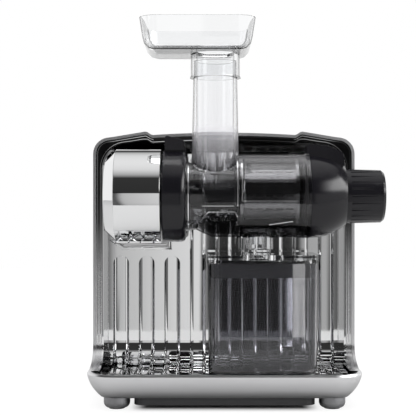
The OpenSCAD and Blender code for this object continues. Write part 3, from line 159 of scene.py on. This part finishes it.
def reflectedRoom(tree):
    x, y, z = splitPlace(tree, "Generated")
    # a direction from -1 to 1 becomes a place from 0 to 1
    height = mathNode(tree, "MULTIPLY_ADD", z, 0.5, 0.5)
    darkRoom, paleWalls, boxHeight = [rampNode(tree, height, stops) for stops in roomHeights.values()]
    depth = mathNode(tree, "MAXIMUM", mathNode(tree, "ABSOLUTE", y), screenReach["leastDepth"])
    across = mathNode(tree, "MULTIPLY_ADD", mathNode(tree, "DIVIDE", x, depth), 0.5, 0.5)
    aboveLow = mathNode(tree, "GREATER_THAN", z, screenReach["low"])
    belowHigh = mathNode(tree, "LESS_THAN", z, screenReach["high"])
    inScreens = mathNode(tree, "MULTIPLY", mathNode(tree, "LESS_THAN", y, 0.0),
                         mathNode(tree, "MULTIPLY", aboveLow, belowHigh))
    behind = mixColour(tree, inScreens, darkRoom, rampNode(tree, across, screens), "MULTIPLY")
    around = mixColour(tree, mathNode(tree, "LESS_THAN", y, paleWallsFrom), paleWalls, behind)
    # one strong softbox high on the right
    boxSpot = mathNode(tree, "MULTIPLY", rampNode(tree, x, softboxAcross["stops"]), boxHeight)
    box = mathNode(tree, "MULTIPLY", boxSpot, mathNode(tree, "LESS_THAN", y, softboxAcross["behind"]))
    strength = mathNode(tree, "MULTIPLY_ADD", box, light["softbox"], light["mirror"])
    return mixColour(tree, box, around, white), strength


def makeWorld():
    # plain soft light on the object, bands and screens in its reflections, white behind it
    world = bpy.data.worlds.new("studioRoom")
    bpy.context.scene.world = world
    world.use_nodes = True
    tree = world.node_tree
    tree.nodes.clear()
    colour, strength = reflectedRoom(tree)
    mirror = newNode(tree, "Background")
    linkUp(tree, (colour, mirror.inputs["Color"]), (strength, mirror.inputs["Strength"]))
    room = newNode(tree, "Background", {"Color": white, "Strength": light["room"]})
    backdrop = newNode(tree, "Background", {"Color": white})
    path = newNode(tree, "LightPath").outputs
    reflected = mathNode(tree, "GREATER_THAN", path["Glossy Depth"], 0.5)
    scattered = mathNode(tree, "GREATER_THAN", path["Diffuse Depth"], 0.5)
    direct = mathNode(tree, "MAXIMUM", path["Is Camera Ray"], path["Is Transmission Ray"])
    bounced = mathNode(tree, "MAXIMUM", reflected, scattered)
    seen = mathNode(tree, "MULTIPLY", direct, mathNode(tree, "SUBTRACT", 1.0, bounced))
    shine = mathNode(tree, "MULTIPLY", reflected, mathNode(tree, "SUBTRACT", 1.0, scattered))
    glossy = mixShader(tree, shine, room.outputs[0], mirror.outputs[0])
    out = newNode(tree, "OutputWorld")
    tree.links.new(mixShader(tree, seen, glossy, backdrop.outputs[0]), out.inputs[0])


makeWorld()

lamps = {
    "topSoftbox": {"place": (0.0, -0.25, 1.5), "aim": (0, 0, 0.15), "size": (1.4, 1.0), "power": 9.0},
    "leftSoftbox": {"place": (-1.3, -0.9, 0.75), "aim": (0, 0, 0.2), "size": (0.6, 1.2), "power": 5.0},
    "rightSoftbox": {"place": (1.35, -0.15, 0.95), "aim": (0.08, 0, 0.2), "size": (0.5, 0.7), "power": 5.0},
    "frontStrip": {"place": (0.170, -1.16, 0.20), "aim": (0.170, 0, 0.20), "size": (0.052, 0.80),
                   "power": 0.62, "glints": True},
}


def areaLight(name, place, aim, size, power, glints=False):
    bpy.ops.object.light_add(type="AREA", location=place)
    lamp = bpy.context.object
    lamp.name = name
    lamp.data.shape = "RECTANGLE"
    lamp.data.size, lamp.data.size_y = size
    lamp.data.energy = power
    lamp.rotation_euler = (Vector(aim) - Vector(place)).to_track_quat("-Z", "Y").to_euler()
    lamp.visible_glossy = glints
    return lamp


lampOf = {name: areaLight(name, **values) for name, values in lamps.items()}


def newMaterial(name):
    mat = bpy.data.materials.new(name)
    mat.use_nodes = True
    tree = mat.node_tree
    return mat, tree, tree.nodes["Principled BSDF"]


def setSurface(tree, shader):
    tree.links.new(shader, tree.nodes["Material Output"].inputs["Surface"])


floorValues = {"middleY": 0.9, "size": (5.0, 3.0), "grey": (0.64, 0.64, 0.64, 1), "roughness": 0.7}
# the floor's white glow is left out in a soft-edged patch under the body: the patch's shape is painted
# shadow, and the lamps' real shadow shows inside it
shadowPatchUnderBody = {"middleX": 0.0108, "fadeX": [(0.080, 1.0), (0.094, 0.0)], "fadeY": [(0.068, 1.0), (0.088, 0.0)]}


def makeFloor():
    bpy.ops.object.select_all(action="DESELECT")
    bpy.ops.mesh.primitive_plane_add(size=1, location=(0, floorValues["middleY"], 0))
    floor = bpy.context.object
    floor.scale = (*floorValues["size"], 1)
    bpy.ops.object.transform_apply(location=True, rotation=True, scale=True)
    floor.name = "paleFloor"
    mat, tree, shader = newMaterial("paleFloorPaint")
    shader.inputs["Base Color"].default_value = floorValues["grey"]
    shader.inputs["Roughness"].default_value = floorValues["roughness"]
    glow = newNode(tree, "Emission", {"Strength": light["floorWhite"]})
    path = newNode(tree, "LightPath").outputs
    direct = mathNode(tree, "MAXIMUM", path["Is Camera Ray"], path["Is Transmission Ray"])
    seen = mathNode(tree, "MULTIPLY", direct, mathNode(tree, "LESS_THAN", path["Glossy Depth"], 0.5))
    x, y = splitPlace(tree, "Object")[:2]
    fromX = mathNode(tree, "ABSOLUTE", mathNode(tree, "ADD", x, shadowPatchUnderBody["middleX"]))
    fadeX = rampNode(tree, fromX, shadowPatchUnderBody["fadeX"])
    fadeY = rampNode(tree, mathNode(tree, "ABSOLUTE", y), shadowPatchUnderBody["fadeY"])
    # painted shadow: the glow's share is taken away inside the patch under the body
    outside = mathNode(tree, "SUBTRACT", 1.0, mathNode(tree, "MULTIPLY", fadeX, fadeY))
    share = mathNode(tree, "MULTIPLY", mathNode(tree, "MULTIPLY", seen, outside), light["floorGlow"])
    setSurface(tree, mixShader(tree, share, shader.outputs[0], glow.outputs[0]))
    floor.data.materials.append(mat)


makeFloor()
print("camera, light and floor ready")


# effects that several finishes share, as node groups
def newGroup(name, inputs, outputs):
    group = bpy.data.node_groups.new(name, "ShaderNodeTree")
    for label, kind, value in inputs:
        socket = group.interface.new_socket(label, in_out="INPUT", socket_type="NodeSocket" + kind)
        if value is not None:
            socket.default_value = value
    for label, kind in outputs:
        group.interface.new_socket(label, in_out="OUTPUT", socket_type="NodeSocket" + kind)
    source = group.nodes.new("NodeGroupInput").outputs
    result = group.nodes.new("NodeGroupOutput").inputs
    return group, source, result


def makeHandling():
    # soft patches of wiping and fine grain, as a change to roughness and a small relief
    inputs = [("Vector", "Vector", None), ("Patch Size", "Float", 18.0), ("Grain Size", "Float", 900.0),
              ("Roughness", "Float", 0.3), ("Spread", "Float", 0.08), ("Relief", "Float", 0.1)]
    group, source, result = newGroup("handlingMarks", inputs, [("Roughness", "Float"), ("Normal", "Vector")])
    patch = newNode(group, "TexNoise", {"Detail": 4})
    grain = newNode(group, "TexNoise", {"Detail": 2})
    bump = newNode(group, "Bump", {"Distance": 0.0002})
    shift = mathNode(group, "SUBTRACT", patch.outputs[0], 0.5)
    rough = mathNode(group, "ADD", mathNode(group, "MULTIPLY", shift, source["Spread"]), source["Roughness"])
    linkUp(group, (source["Vector"], patch.inputs["Vector"]), (source["Patch Size"], patch.inputs["Scale"]),
           (source["Vector"], grain.inputs["Vector"]), (source["Grain Size"], grain.inputs["Scale"]),
           (grain.outputs[0], bump.inputs["Height"]), (source["Relief"], bump.inputs["Strength"]),
           (rough, result["Roughness"]), (bump.outputs[0], result["Normal"]))
    return group


def makeBrushing():
    # long fine lines left by a brush, along one axis of the piece
    inputs = [("Vector", "Vector", None), ("Stretch", "Vector", (4, 900, 900)),
              ("Dark", "Color", (0.4, 0.4, 0.4, 1)), ("Light", "Color", (0.7, 0.7, 0.7, 1)),
              ("Relief", "Float", 0.15)]
    group, source, result = newGroup("brushedLines", inputs, [("Color", "Color"), ("Normal", "Vector")])
    scale = newNode(group, "VectorMath", operation="MULTIPLY")
    lines = newNode(group, "TexNoise", {"Scale": 1, "Detail": 3})
    bump = newNode(group, "Bump", {"Distance": 0.0001})
    tint = mixColour(group, lines.outputs[0], source["Dark"], source["Light"])
    linkUp(group, (source["Vector"], scale.inputs[0]), (source["Stretch"], scale.inputs[1]),
           (scale.outputs[0], lines.inputs["Vector"]), (lines.outputs[0], bump.inputs["Height"]),
           (source["Relief"], bump.inputs["Strength"]), (tint, result["Color"]),
           (bump.outputs[0], result["Normal"]))
    return group


def makeDrift():
    # a colour that drifts slightly over the surface, as paint and moulded plastic do
    inputs = [("Vector", "Vector", None), ("Size", "Float", 6.0), ("Colour A", "Color", (0.5, 0.5, 0.5, 1)),
              ("Colour B", "Color", (0.6, 0.6, 0.6, 1))]
    group, source, result = newGroup("colourDrift", inputs, [("Color", "Color")])
    noise = newNode(group, "TexNoise", {"Detail": 5})
    tint = mixColour(group, noise.outputs[0], source["Colour A"], source["Colour B"])
    linkUp(group, (source["Vector"], noise.inputs["Vector"]), (source["Size"], noise.inputs["Scale"]),
           (tint, result["Color"]))
    return group


handlingMarks, brushedLines, colourDrift = makeHandling(), makeBrushing(), makeDrift()


def useGroup(tree, group, values):
    node = newNode(tree, "Group", node_tree=group)
    coord = newNode(tree, "TexCoord")
    tree.links.new(coord.outputs["Object"], node.inputs["Vector"])
    for label, value in values.items():
        node.inputs[label].default_value = value
    return node.outputs


def addHandling(tree, shader, patch, grain, roughness, spread, relief):
    values = {"Patch Size": patch, "Grain Size": grain, "Roughness": roughness, "Spread": spread,
              "Relief": relief}
    marks = useGroup(tree, handlingMarks, values)
    tree.links.new(marks["Roughness"], shader.inputs["Roughness"])
    return marks["Normal"]


def alongAxis(tree, axis, stops):
    # a value that changes with the place in metres along one axis, between the first and the last stop
    low, high = stops[0][0], stops[-1][0]
    offset = mathNode(tree, "SUBTRACT", splitPlace(tree, "Object")[axis], low)
    share = mathNode(tree, "DIVIDE", offset, high - low, clamp=True)
    return rampNode(tree, share, [((at - low) / (high - low), value) for at, value in stops])


def plainFinish(name, colourA, colourB, roughness, metallic=0.0, coat=0.0, coatRoughness=0.05, patch=18.0,
                grain=900.0, spread=0.08, relief=0.1, ior=1.5, size=6.0, shade=None):
    mat, tree, shader = newMaterial(name)
    drift = useGroup(tree, colourDrift, {"Size": size, "Colour A": (*colourA, 1), "Colour B": (*colourB, 1)})
    colour = drift["Color"]
    if shade:
        colour = mixColour(tree, 1.0, colour, alongAxis(tree, *shade), "MULTIPLY")
    normal = addHandling(tree, shader, patch, grain, roughness, spread, relief)
    linkUp(tree, (colour, shader.inputs["Base Color"]), (normal, shader.inputs["Normal"]))
    shader.inputs["Metallic"].default_value = metallic
    shader.inputs["IOR"].default_value = ior
    shader.inputs["Coat Weight"].default_value = coat
    shader.inputs["Coat Roughness"].default_value = coatRoughness
    mat.diffuse_color = (*colourB, 1)
    return mat


def brushedFinish(name, dark, pale, roughness, stretch, relief=0.15):
    mat, tree, shader = newMaterial(name)
    values = {"Stretch": stretch, "Dark": (*dark, 1), "Light": (*pale, 1), "Relief": relief}
    lines = useGroup(tree, brushedLines, values)
    addHandling(tree, shader, patch=30.0, grain=600.0, roughness=roughness, spread=0.1, relief=0.0)
    linkUp(tree, (lines["Color"], shader.inputs["Base Color"]), (lines["Normal"], shader.inputs["Normal"]))
    shader.inputs["Metallic"].default_value = 1.0
    return mat


# walls seen edge-on are painted dark, since their light comes from the dark room to the sides: the base
# colour darkens with the facing, a painted reflection
clearRim = [(0.0, 1.0), (0.50, 1.0), (0.74, 0.14), (1.0, 0.14)]
clearValues = {"ior": 1.42, "roughness": 0.02, "through": 0.85, "milky": (0.82, 0.81, 0.84, 1)}


def clearFinish(name, tint, smoke=None, haze=None):
    # clear moulded plastic: light passes in shadow rays too, so what lies behind stays lit
    mat, tree, shader = newMaterial(name)
    facing = newNode(tree, "LayerWeight", {"Blend": 0.5})
    rim = rampNode(tree, facing.outputs["Facing"], clearRim)
    # the colour may change along an axis: the piece's own tint together with painted shade bands
    base = alongAxis(tree, *smoke) if smoke else (*tint, 1)
    tree.links.new(mixColour(tree, 1.0, base, rim, "MULTIPLY"), shader.inputs["Base Color"])
    shader.inputs["Transmission Weight"].default_value = 1.0
    shader.inputs["IOR"].default_value = clearValues["ior"]
    normal = addHandling(tree, shader, patch=25.0, grain=500.0, roughness=clearValues["roughness"],
                         spread=0.02, relief=0.0)
    tree.links.new(normal, shader.inputs["Normal"])
    body = shader.outputs[0]
    if haze:
        milky = newNode(tree, "BsdfDiffuse", {"Color": clearValues["milky"]})
        body = mixShader(tree, alongAxis(tree, *haze), body, milky.outputs[0])
    passed = newNode(tree, "BsdfTransparent", {"Color": (*[clearValues["through"] * t for t in tint], 1)})
    path = newNode(tree, "LightPath")
    setSurface(tree, mixShader(tree, path.outputs["Is Shadow Ray"], body, passed.outputs[0]))
    return mat


# changes along an axis of the object: 0 is x and 2 is z, and each stop is a place and a value
smokyGrey, paintedEdgeDark = (0.60, 0.60, 0.62), (0.06, 0.06, 0.065)
# the container's smoky grey is its own tint; the dark band left of x -0.0248 is a painted dark reflection,
# and the haze is left out there too
alongContainer = {
    "smoke": (0, [(-0.05, (0.05, 0.05, 0.055)), (-0.0248, paintedEdgeDark), (-0.0228, smokyGrey),
                  (0.085, smokyGrey)]),
    "haze": (0, [(-0.05, 0.0), (-0.0248, 0.0), (-0.0228, 0.008), (0.085, 0.008)]),
}
# the drum is darker towards the bottom, where its dark smoky hood sits; the bright and darker bands between
# 0.196 and 0.25 m are painted light and shade across the barrel
alongDrum = {
    "smoke": (2, [(0.15, (0.30, 0.30, 0.31)), (0.188, (0.34, 0.34, 0.35)), (0.196, (0.82, 0.82, 0.83)),
                  (0.222, (0.62, 0.62, 0.63)), (0.238, (0.72, 0.72, 0.73)), (0.25, (0.96, 0.96, 0.97)),
                  (0.35, (0.97, 0.975, 0.98))]),
    "haze": (2, [(0.236, 0.0), (0.252, 0.06), (0.27, 0.14), (0.278, 0.14), (0.283, 0.02), (0.35, 0.01)]),
}
# painted shade: the tray's colour darkens towards the bottom, where it curves under
paintedTrayShade = (2, [(0.009, 0.22), (0.013, 0.42), (0.020, 0.72), (0.030, 0.95), (0.034, 1.0), (0.05, 1.0)])
bezelShade = (2, [(0.0, 1.0), (0.13, 1.0), (0.185, 0.12), (0.215, 0.02), (0.3, 0.015)])

finishes = {
    "silver_body": plainFinish("satinSilver", (0.72, 0.72, 0.73), (0.80, 0.80, 0.81), 0.30, metallic=1.0,
                               grain=1400.0, relief=0.06),
    "chrome_trim": plainFinish("mirrorChrome", (0.86, 0.865, 0.87), (0.90, 0.90, 0.905), 0.035, metallic=1.0,
                               patch=9.0, grain=14.0, spread=0.02, relief=0.002),
    "black_gloss": plainFinish("glossBlack", (0.006, 0.006, 0.008), (0.010, 0.009, 0.012), 0.20, coat=0.15,
                               coatRoughness=0.03, patch=14.0, grain=1200.0, spread=0.06, relief=0.015,
                               ior=1.38),
    "black_matt": plainFinish("grainedBlack", (0.030, 0.030, 0.032), (0.042, 0.042, 0.045), 0.5, grain=2200.0,
                              relief=0.35),
    "auger_dark": plainFinish("augerDark", (0.012, 0.012, 0.014), (0.02, 0.02, 0.023), 0.22, grain=1600.0,
                              relief=0.08),
    "rubber": plainFinish("softRubber", (0.022, 0.022, 0.022), (0.035, 0.035, 0.035), 0.75, grain=2600.0,
                          relief=0.3),
    "seal_grey": plainFinish("siliconeSeal", (0.035, 0.035, 0.04), (0.06, 0.06, 0.065), 0.42, grain=1500.0,
                             relief=0.12),
    "clear_plastic": clearFinish("clearPlastic", (0.97, 0.975, 0.98)),
    "smoky_plastic": clearFinish("smokyPlastic", smokyGrey, **alongContainer),
    "steel": brushedFinish("turnedSteel", (0.42, 0.42, 0.43), (0.66, 0.66, 0.67), 0.28, (900, 6, 6)),
    "screen_steel": brushedFinish("screenSteel", (0.20, 0.20, 0.21), (0.33, 0.33, 0.33), 0.10, (900, 9, 9),
                                  relief=0.05),
    "cast_alloy": plainFinish("castAlloy", (0.48, 0.48, 0.49), (0.60, 0.60, 0.61), 0.48, metallic=0.9,
                              grain=1500.0, relief=0.4, size=30.0),
    "copper": brushedFinish("varnishedCopper", (0.45, 0.18, 0.07), (0.85, 0.42, 0.20), 0.3, (2400, 40, 40),
                            relief=0.6),
    "nylon": plainFinish("naturalNylon", (0.78, 0.77, 0.71), (0.84, 0.83, 0.78), 0.42, grain=1400.0,
                         relief=0.08),
    "board_green": plainFinish("boardGreen", (0.02, 0.13, 0.06), (0.035, 0.19, 0.09), 0.3, coat=0.4,
                               size=60.0),
}
# nodes whose finish differs from that of their slot
ownFinish = {
    "drum": clearFinish("drumClear", (0.95, 0.95, 0.96), **alongDrum),
    "shell_bezel": plainFinish("bezelGloss", (0.74, 0.74, 0.75), (0.80, 0.80, 0.81), 0.24, metallic=1.0,
                               coat=0.35, coatRoughness=0.03, relief=0.015, shade=bezelShade),
    "base_tray": plainFinish("satinTray", (0.74, 0.74, 0.75), (0.82, 0.82, 0.83), 0.30, metallic=1.0,
                             grain=1400.0, relief=0.06, shade=paintedTrayShade),
    # the feet are the same satin silver as the tray, painted darker as shade and dark reflection under the
    # tray's overhang
    "feet": plainFinish("satinFeet", (0.26, 0.26, 0.27), (0.31, 0.31, 0.32), 0.34, metallic=1.0, grain=1400.0,
                        relief=0.06),
}
# painted highlight: a pale glinting finish for strips where the drum's edges catch the light
paintedGlint = plainFinish("paintedGlint", (0.70, 0.70, 0.71), (0.80, 0.80, 0.81), 0.12, metallic=0.8, relief=0.01)
# painted shade: a dark finish for strips along the drum's edges and bends
paintedDarkLine = plainFinish("paintedDarkLine", (0.015, 0.015, 0.017), (0.03, 0.03, 0.033), 0.15, coat=0.5, relief=0.01)

slotOf = {part["node"]: part["material_slot"] for part in frame["record"]["subparts"]}
for nodeName, nodeObject in frame["nodes"].items():
    nodeObject.data.materials.clear()
    nodeObject.data.materials.append(finishes[slotOf[nodeName]])
print("finishes ready", len(finishes))


def onlySelect(obj):
    bpy.ops.object.select_all(action="DESELECT")
    obj.select_set(True)
    bpy.context.view_layer.objects.active = obj


def addModifier(obj, kind, **values):
    onlySelect(obj)
    mod = obj.modifiers.new(kind.lower(), kind)
    for key, value in values.items():
        setattr(mod, key, value)
    bpy.ops.object.modifier_apply(modifier=mod.name)


def addBevel(obj, width, segments, sharpest):
    addModifier(obj, "BEVEL", width=width * mm, segments=segments, limit_method="ANGLE",
                angle_limit=math.radians(sharpest))


def finishPiece(obj, name, node, material, replaced=()):
    # a finished piece rides on the body of one node, and stands for the nodes that it replaces
    onlySelect(obj)
    bpy.ops.object.transform_apply(location=True, rotation=True, scale=True)
    bpy.ops.object.shade_smooth_by_angle(angle=math.radians(35))
    if replaced:
        addModifier(obj, "WEIGHTED_NORMAL", mode="FACE_AREA", weight=100, keep_sharp=True)
    obj.name = name
    obj.data.name = name
    obj.data.materials.clear()
    obj.data.materials.append(material)
    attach(obj, frame["nodes"][node]["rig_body"])
    if replaced:
        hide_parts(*replaced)
    return obj


merge = {"threshold": 0.00001, "flatten": 0.6}


def mergedCopy(source):
    # the same shape with its triangles merged into whole faces
    onlySelect(source)
    bpy.ops.object.duplicate()
    obj = bpy.context.object
    for key in list(obj.keys()):
        if key.startswith("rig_"):
            del obj[key]
    obj.parent = None
    bpy.ops.object.mode_set(mode="EDIT")
    bpy.ops.mesh.select_all(action="SELECT")
    bpy.ops.mesh.customdata_custom_splitnormals_clear()
    bpy.ops.mesh.remove_doubles(threshold=merge["threshold"])
    bpy.ops.mesh.dissolve_limited(angle_limit=math.radians(merge["flatten"]))
    bpy.ops.object.mode_set(mode="OBJECT")
    return obj


# the width in millimetres of each node's eased edges
easedEdges = {
    "rear_shell": 0.8, "base_tray": 0.4, "shell_bezel": 0.5, "bezel_trim": 0.3, "backsplash": 1.1,
    "pod_cover": 0.6, "pod_end_ring": 0.8, "pod_trim": 1.0, "drive_collar": 0.5, "lock_latch": 0.8,
    "end_cap": 0.5, "adjusting_knob": 0.4, "feet": 0.3, "carry_handle": 1.0, "handle_cup": 0.8,
    "back_cover": 0.4, "power_switch": 0.4, "switch_bezel": 0.4, "hopper": 0.5, "juice_container": 0.5,
    "container_lid": 0.4, "drum": 0.4, "juice_outlet": 0.4, "lid_seal": 0.0, "juicing_screen": 0.0,
    "auger": 0.0, "pulp_nozzle": 0.3,
}
wideEdge = 0.9
for node, width in easedEdges.items():
    eased = mergedCopy(frame["nodes"][node])
    if width:
        addBevel(eased, width, segments=4 if width > wideEdge else 2, sharpest=35)
    finish = ownFinish.get(node, finishes[slotOf[node]])
    finishPiece(eased, node + "Shown", node, finish, replaced=[node])
print("eased pieces ready", len(easedEdges))

# the strip lights only the juice container, whose front wall mirrors it
stripSees = bpy.data.collections.new("stripSees")
stripSees.objects.link(bpy.data.objects["juice_containerShown"])
lampOf["frontStrip"].light_linking.receiver_collection = stripSees

# thin beads that follow the outer edge of a node's front face, and dark strips of painted shade beside them,
# with widths in millimetres
rimBeads = {
    "rimBead": {"node": "shell_bezel", "inset": 1.3, "width": 0.5, "thick": 0.5, "slot": "chrome_trim"},
    "trimBead": {"node": "pod_trim", "inset": 0.5, "width": 1.5, "thick": 1.3, "slot": "chrome_trim",
                 "bevel": 0.5},
    # painted shade: two dark strips on the pod trim, one at its outer edge and one further in
    "trimShadeLine": {"node": "pod_trim", "inset": 0.02, "width": 0.45, "thick": 0.5, "slot": "black_gloss"},
    "trimInnerShadeLine": {"node": "pod_trim", "inset": 2.3, "width": 0.45, "thick": 0.3, "slot": "black_gloss"},
}
frontFace = {"above": 0.12, "facing": -0.99, "within": 0.0002}


def insetFaces(width):
    bpy.ops.mesh.inset(thickness=width * mm, use_boundary=True, use_even_offset=True)


def frontRing(name, node, inset, width, thick, slot, bevel=0.0):
    obj = mergedCopy(bpy.data.objects[node + "Shown"])
    front = min(v.co.y for v in obj.data.vertices if v.co.z > frontFace["above"])
    onlySelect(obj)
    bpy.ops.object.mode_set(mode="EDIT")
    bpy.ops.mesh.select_mode(type="FACE")
    bpy.ops.mesh.select_all(action="DESELECT")
    mesh = bmesh.from_edit_mesh(obj.data)
    for face in mesh.faces:
        flush = all(abs(v.co.y - front) < frontFace["within"] for v in face.verts)
        face.select_set(face.normal.y < frontFace["facing"] and flush)
    bmesh.update_edit_mesh(obj.data)
    bpy.ops.mesh.select_all(action="INVERT")
    bpy.ops.mesh.delete(type="FACE")
    bpy.ops.mesh.select_all(action="SELECT")
    insetFaces(inset)
    bpy.ops.mesh.select_all(action="INVERT")
    bpy.ops.mesh.delete(type="FACE")
    bpy.ops.mesh.select_all(action="SELECT")
    insetFaces(width)
    bpy.ops.mesh.delete(type="FACE")
    bpy.ops.object.mode_set(mode="OBJECT")
    addModifier(obj, "SOLIDIFY", thickness=thick * mm, offset=1.0)
    if bevel:
        addBevel(obj, bevel, segments=3, sharpest=40)
    return finishPiece(obj, name, node, finishes[slot])


for name, values in rimBeads.items():
    bead = frontRing(name, **values)
    print("bead", name, len(bead.data.polygons))

# the view is 416 points wide and high, and its middle point lies on the camera's own line
view = {"middle": 208, "focus": 1.075, "distance": 1.14}


def viewPlace(across, down, y):
    # the place in metres that the camera sees at a point of the view, in the plane of one y
    scale = view["focus"] / (view["distance"] + y)
    x = camera["place"][0] + (across - view["middle"]) * mm / scale
    return Vector((x, y, camera["place"][2] + (view["middle"] - down) * mm / scale))


drumAxisY = -0.065
lineValues = {"inFront": 0.045, "lift": 0.25, "thick": 0.35}


def drumLine(name, points, width, finish, cuts=7):
    # a thin strip laid on the drum's front between two points of the view: pale strips are painted
    # highlights, and dark strips painted shade
    y = drumAxisY - lineValues["inFront"]
    start, end = [viewPlace(*point, y) for point in points]
    along = end - start
    bpy.ops.object.select_all(action="DESELECT")
    bpy.ops.mesh.primitive_plane_add(size=1, location=(start + end) / 2, rotation=(upright, 0, 0))
    obj = bpy.context.object
    obj.scale = (along.length, width * mm, 1)
    obj.rotation_euler = (upright, math.atan2(-along.z, along.x), 0)
    bpy.ops.object.transform_apply(location=True, rotation=True, scale=True)
    bpy.ops.object.mode_set(mode="EDIT")
    bpy.ops.mesh.select_all(action="SELECT")
    bpy.ops.mesh.subdivide(number_cuts=cuts)
    bpy.ops.object.mode_set(mode="OBJECT")
    addModifier(obj, "SHRINKWRAP", target=bpy.data.objects["drumShown"], wrap_method="PROJECT",
                use_project_y=True, use_positive_direction=True, use_negative_direction=True,
                offset=lineValues["lift"] * mm)
    addModifier(obj, "SOLIDIFY", thickness=lineValues["thick"] * mm, offset=0.0)
    finishPiece(obj, name, "drum", finish)


# each line's two ends across and down the view, its width in millimetres and its finish
# a line with finer cuts follows a step or a bend closely
fineCuts = 15
# lines with the pale finish are painted highlights, and those with the dark finish painted shade
drumLines = {
    "neckFlangeLine": ([(188, 165), (188, 229)], 1.1, paintedGlint, fineCuts),
    "shoulderLine": ([(238, 160), (238, 206)], 0.9, paintedGlint, fineCuts),
    "shoulderShade": ([(235.5, 162), (235.5, 208)], 0.8, paintedDarkLine, fineCuts),
    "barrelLine": ([(242.5, 162), (242.5, 201)], 0.7, paintedGlint, fineCuts),
    "windowLine": ([(242.5, 201), (298, 201)], 0.5, paintedGlint, fineCuts),
    "hoodSlope": ([(199.5, 222), (208, 212.5)], 0.8, paintedGlint),
    "hoodTop": ([(208, 212.2), (235, 212.2)], 1.1, paintedGlint),
    "hoodEnd": ([(235, 212.2), (238, 217)], 0.7, paintedGlint),
    "lowerLine": ([(202, 206), (234, 206)], 0.5, paintedGlint),
    "neckShade": ([(191, 183), (204, 183)], 0.6, paintedDarkLine),
    "flangeShade": ([(185.2, 166), (185.2, 228)], 0.9, paintedDarkLine),
    "collarShade": ([(307.5, 163), (307.5, 226)], 0.7, paintedDarkLine),
    "barrelFoot": ([(243, 219), (296, 217)], 0.7, paintedDarkLine),
    "barrelCurveLine": ([(270, 225), (294, 221.5)], 0.7, paintedGlint),
}
for name, values in drumLines.items():
    drumLine(name, *values)
print("drum lines", len(drumLines))
